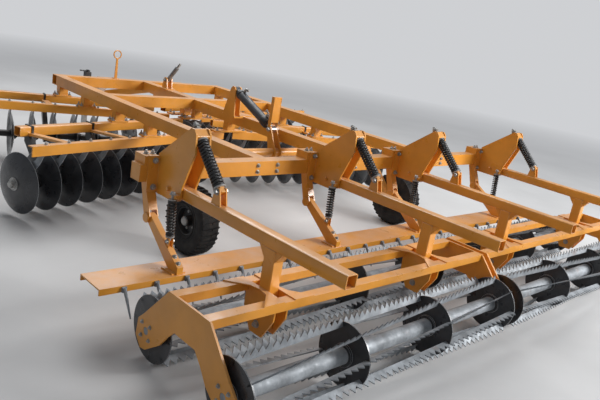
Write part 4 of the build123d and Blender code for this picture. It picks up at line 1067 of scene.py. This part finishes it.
BRACKET_PIN = Vector(JOINTS["cylinder_swing"]["pos_m"])
LEVER_PIN = at(BRACKET_PIN.x, 0.975, BEAM_TOP)
STOP_BAR = {"cheek_x": 0.041, "cheek_z": 0.130, "cheek": (0.006, 0.036, 0.310), "core_z": 0.172,
            "core": (0.078, 0.034, 0.224), "pin_x": 0.044}
BARREL_END = 0.080
GLAND = ((-0.066, 0.041), (-0.066, 0.0465), (-0.060, 0.048), (-0.004, 0.048), (0.002, 0.045),
         (0.002, 0.0215))
BARREL_FOOT = ((0.070, 0.041), (0.070, 0.0445), (0.076, 0.046), (0.090, 0.046), (0.096, 0.041))
PORT = {"from_foot": 0.112, "from_pin": 0.120, "over": 0.054, "pipe": 0.0085, "nut": 0.004}
PORT_ELBOW = ((0.0, 0.0), (0.020, 0.0), (0.029, 0.006), (0.032, 0.030))


class TILLAGE_OT_lift_fittings(MachineOperator):
    """Add the stop bar on the lift's lever and the lift cylinder's gland, ports and pins"""

    bl_idname = "tillage.lift_fittings"
    bl_label = "Lift fittings"

    def execute(self, context):
        bar, pins, gland, ports = bmesh.new(), bmesh.new(), bmesh.new(), bmesh.new()
        for way in BOTH:
            cheek = LEVER_PIN + Vector((way * STOP_BAR["cheek_x"], 0, STOP_BAR["cheek_z"]))
            block(bar, cheek, STOP_BAR["cheek"], chamfer=0.001)
            bolt(pins, LEVER_PIN + SIDEWAYS * (way * STOP_BAR["pin_x"]), SIDEWAYS * way, "lever_pin")
        block(bar, LEVER_PIN + UP * STOP_BAR["core_z"], STOP_BAR["core"], chamfer=0.002)
        run = (LEVER_PIN - BRACKET_PIN).length
        along = (LEVER_PIN - BRACKET_PIN).normalized()
        over = along.cross(SIDEWAYS)
        turned(gland, GLAND, BRACKET_PIN + along * (run - BARREL_END), along, 40, closed=True)
        turned(gland, BARREL_FOOT, BRACKET_PIN, along, 40, closed=True)
        for spot, lean in ((PORT["from_foot"], 1), (run - PORT["from_pin"], -1)):
            foot = BRACKET_PIN + along * spot + over * PORT["over"]
            elbow = [foot + over * rise + along * (lean * reach) for rise, reach in PORT_ELBOW]
            tube(ports, elbow, PORT["pipe"], 14)
            bolt(ports, foot + over * PORT["nut"], over, "port")
            bolt(ports, elbow[-1], along * lean, "elbow")
        finished("lift_stop_bar", bar, "lift", "orange_paint", 30)
        finished("lever_pin_heads", pins, "lift", "zinc")
        finished("lift_cylinder_gland", gland, "cylinder", "black_paint")
        finished("lift_cylinder_ports", ports, "cylinder", "zinc")
        return {"FINISHED"}


# Levelling screw and hose post

SCREW = {"foot": at(0, 2.900, BEAM_TOP), "lean": Vector((0, -0.700, 0.714)), "pin_up": 0.096,
         "pin_x": 0.036}
SCREW_BASE = {"size": (0.130, 0.130, 0.008), "lug_x": (-0.036, 0.024), "lug": 0.012}
SCREW_LUG = ((-0.050, 0.0), (0.050, 0.0), (0.030, 0.108), (0.014, 0.124), (-0.014, 0.124), (-0.030, 0.108))
SLEEVE = ((-0.020, 0.0), (-0.020, 0.020), (0.0, 0.0225), (0.215, 0.0225), (0.222, 0.020), (0.222, 0.0))
THREAD = {"start": 0.222, "neck": 0.0135, "lead": 0.003, "pitch": 0.005, "turns": 11, "root": 0.0125,
          "crest": 0.0150}
THREAD_END = ((0.284, 0.013), (0.288, 0.010), (0.288, 0.0))
POST_BASE = (0.060, 0.060, 0.008)
POST = {"thick": 0.012, "ring_z": 0.264, "ring": 0.043, "bar": 0.0065, "steps": 40}
POST_OUTLINE = ((-0.015, 0.008), (0.015, 0.008), (0.010, 0.222), (-0.010, 0.222))


def levelling_screw():
    """The levelling screw's lugs and pin, its sleeve and the thread that stands out of it."""
    foot, lean = SCREW["foot"], SCREW["lean"].normalized()
    eye = foot + UP * SCREW["pin_up"]
    lugs, sleeve, pins = bmesh.new(), bmesh.new(), bmesh.new()
    for x in SCREW_BASE["lug_x"]:
        plate(lugs, SCREW_LUG, foot + SIDEWAYS * x, AHEAD, UP, SIDEWAYS * SCREW_BASE["lug"])
    size = SCREW_BASE["size"]
    block(lugs, foot + UP * (size[2] / 2), size, chamfer=0.001)
    for way in BOTH:
        bolt(pins, eye + SIDEWAYS * (way * SCREW["pin_x"]), SIDEWAYS * way, "screw_pin")
    turned(sleeve, SLEEVE, eye, lean, 32)
    start, pitch = THREAD["start"], THREAD["pitch"]
    thread = [(start, 0.0), (start, THREAD["neck"])]
    for k in range(THREAD["turns"]):
        crest = start + THREAD["lead"] + k * pitch
        thread += [(crest, THREAD["crest"]), (crest + pitch / 2, THREAD["root"])]
    turned(pins, [*thread, *THREAD_END], eye, lean, 24)
    finished("levelling_screw_lugs", lugs, "root", "orange_paint", 30, replaces=("levelling_screw",))
    finished("levelling_screw_sleeve", sleeve, "root", "worn_steel")
    finished("levelling_screw_thread", pins, "root", "zinc")


def hose_post():
    """The post that holds the hoses in the ring at its top."""
    post = bmesh.new()
    base = Vector((*middle("hose_holder_post").xy, BEAM_TOP))
    block(post, base + UP * (POST_BASE[2] / 2), POST_BASE, chamfer=0.001)
    plate(post, POST_OUTLINE, base - AHEAD * (POST["thick"] / 2), SIDEWAYS, UP, AHEAD * POST["thick"])
    centre, steps = base + UP * POST["ring_z"], POST["steps"]
    angles = [2 * math.pi * k / steps for k in range(steps + 1)]
    ring = [round_point(centre, SIDEWAYS, UP, POST["ring"], angle) for angle in angles]
    tube(post, ring, POST["bar"])
    finished("hose_ring_post", post, "root", "orange_paint", replaces=("hose_holder_post",))


class TILLAGE_OT_front_fittings(MachineOperator):
    """Make the levelling screw with its lugs, and the hose post with its ring"""

    bl_idname = "tillage.front_fittings"
    bl_label = "Front fittings"

    def execute(self, context):
        levelling_screw()
        hose_post()
        return {"FINISHED"}


# Floor, lights and camera

FLOOR_REACH = 60.0
FLOOR_DARK, FLOOR_PALE = (0.50, 0.50, 0.50), (0.58, 0.58, 0.58)
FLOOR_FADE = (4.5, 16.0)
BACKDROP = (0.62, 0.63, 0.65)
SKY = (0.80, 0.84, 0.90)
SKY_STRENGTH = 0.30
LAMPS = (("key", (5.5, -8.5, 4.6), (0, -1.0, 0.4), 3.5, 1080.0),
         ("top", (1.0, 3.5, 6.5), (0, 0, 0.4), 6.0, 520.0))


def make_floor(scene):
    """A pale floor that fades into the backdrop's colour away from the machine."""
    mesh = bpy.data.meshes.new("floor")
    corners = ((-1, -1), (1, -1), (1, 1), (-1, 1))
    mesh.from_pydata([(FLOOR_REACH * x, FLOOR_REACH * y, 0) for x, y in corners], [], [(0, 1, 2, 3)])
    floor = bpy.data.objects.new("floor", mesh)
    scene.collection.objects.link(floor)
    ground = Nodes("floor")
    ground.feed(Base_Color=ground.mix(ground.patches(0.8, (0.35, 0.7), detail=6.0), FLOOR_DARK, FLOOR_PALE))
    shown = ground.add("ShaderNodeEmission")
    shown.inputs["Color"].default_value = (*BACKDROP, 1.0)
    where = ground.add("ShaderNodeTexCoord")
    distance = ground.add("ShaderNodeVectorMath", operation="LENGTH")
    ground.join(where.outputs["Object"], distance.inputs[0])
    far = ground.spread(distance.outputs["Value"], *FLOOR_FADE)
    seen = ground.add("ShaderNodeLightPath")
    blend = ground.add("ShaderNodeMixShader")
    ground.join(ground.maths("MULTIPLY", far, seen.outputs["Is Camera Ray"]), blend.inputs[0])
    ground.join(ground.shader.outputs["BSDF"], blend.inputs[1])
    ground.join(shown.outputs["Emission"], blend.inputs[2])
    ground.join(blend.outputs["Shader"], ground.tree.nodes["Material Output"].inputs["Surface"])
    mesh.materials.append(ground.set(Roughness=0.65))


def make_sky(scene):
    """Soft even light from all round, with the backdrop's colour behind the machine."""
    scene.world = bpy.data.worlds.new("studio")
    scene.world.use_nodes = True
    nodes, links = scene.world.node_tree.nodes, scene.world.node_tree.links
    light = nodes["Background"]
    light.inputs["Color"].default_value = (*SKY, 1.0)
    light.inputs["Strength"].default_value = SKY_STRENGTH
    behind = nodes.new("ShaderNodeBackground")
    behind.inputs["Color"].default_value = (*BACKDROP, 1.0)
    ray = nodes.new("ShaderNodeLightPath")
    choose = nodes.new("ShaderNodeMixShader")
    sources = (ray.outputs["Is Camera Ray"], light.outputs[0], behind.outputs[0])
    for source, target in zip(sources, choose.inputs):
        links.new(source, target)
    links.new(choose.outputs[0], nodes["World Output"].inputs["Surface"])


def make_lamps(scene):
    """A large soft key lamp and a top lamp."""
    for name, place, aim, size, power in LAMPS:
        lamp = bpy.data.lights.new(name, "AREA")
        lamp.shape = "SQUARE"
        lamp.size = size
        lamp.energy = power
        light = bpy.data.objects.new(name, lamp)
        light.location = place
        light.rotation_mode = "QUATERNION"
        light.rotation_quaternion = (Vector(aim) - Vector(place)).to_track_quat("-Z", "Y")
        scene.collection.objects.link(light)


def make_camera(scene):
    """The camera, at the photograph's place and angles."""
    data = bpy.data.cameras.new("camera")
    data.sensor_fit = "HORIZONTAL"
    data.sensor_width = 36.0
    data.lens = CAMERA_LENS
    data.clip_end = 200.0
    camera = bpy.data.objects.new("camera", data)
    turns = ((CAMERA_HEADING, "Z"), (90 + CAMERA_TILT, "X"), (CAMERA_ROLL, "Z"))
    placed = Matrix.Translation(CAMERA_AT)
    for degrees, axis in turns:
        placed = placed @ Matrix.Rotation(math.radians(degrees), 4, axis)
    camera.matrix_world = placed
    scene.collection.objects.link(camera)
    scene.camera = camera


class TILLAGE_OT_stage(MachineOperator):
    """Add the floor, the soft lights and the camera"""

    bl_idname = "tillage.stage"
    bl_label = "Stage"

    def execute(self, context):
        scene = context.scene
        make_floor(scene)
        make_sky(scene)
        make_lamps(scene)
        make_camera(scene)
        scene.view_settings.view_transform = "Standard"
        return {"FINISHED"}


STEPS = (TILLAGE_OT_finishes, TILLAGE_OT_rollers, TILLAGE_OT_gangs, TILLAGE_OT_gang_frames,
         TILLAGE_OT_roller_arms, TILLAGE_OT_springs, TILLAGE_OT_wheels, TILLAGE_OT_fasteners,
         TILLAGE_OT_lift_fittings, TILLAGE_OT_front_fittings, TILLAGE_OT_stage)


class TILLAGE_PT_panel(bpy.types.Panel):
    """Lists the machine's settings and the steps that make it"""

    bl_label = "Tillage machine"
    bl_idname = "TILLAGE_PT_panel"
    bl_space_type = "VIEW_3D"
    bl_region_type = "UI"
    bl_category = "Tillage"

    def draw(self, context):
        for key in MachineSettings.__annotations__:
            self.layout.prop(context.scene.tillage_machine, key)
        for step in STEPS:
            self.layout.operator(step.bl_idname)


CLASSES = (MachineSettings, *STEPS, TILLAGE_PT_panel)


def register():
    for cls in CLASSES:
        bpy.utils.register_class(cls)
    bpy.types.Scene.tillage_machine = bpy.props.PointerProperty(type=MachineSettings)


def unregister():
    del bpy.types.Scene.tillage_machine
    for cls in reversed(CLASSES):
        bpy.utils.unregister_class(cls)


def main():
    """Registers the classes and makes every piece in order."""
    register()
    for step in STEPS:
        group, action = step.bl_idname.split(".")
        getattr(getattr(bpy.ops, group), action)()


if __name__ == "__main__":
    main()
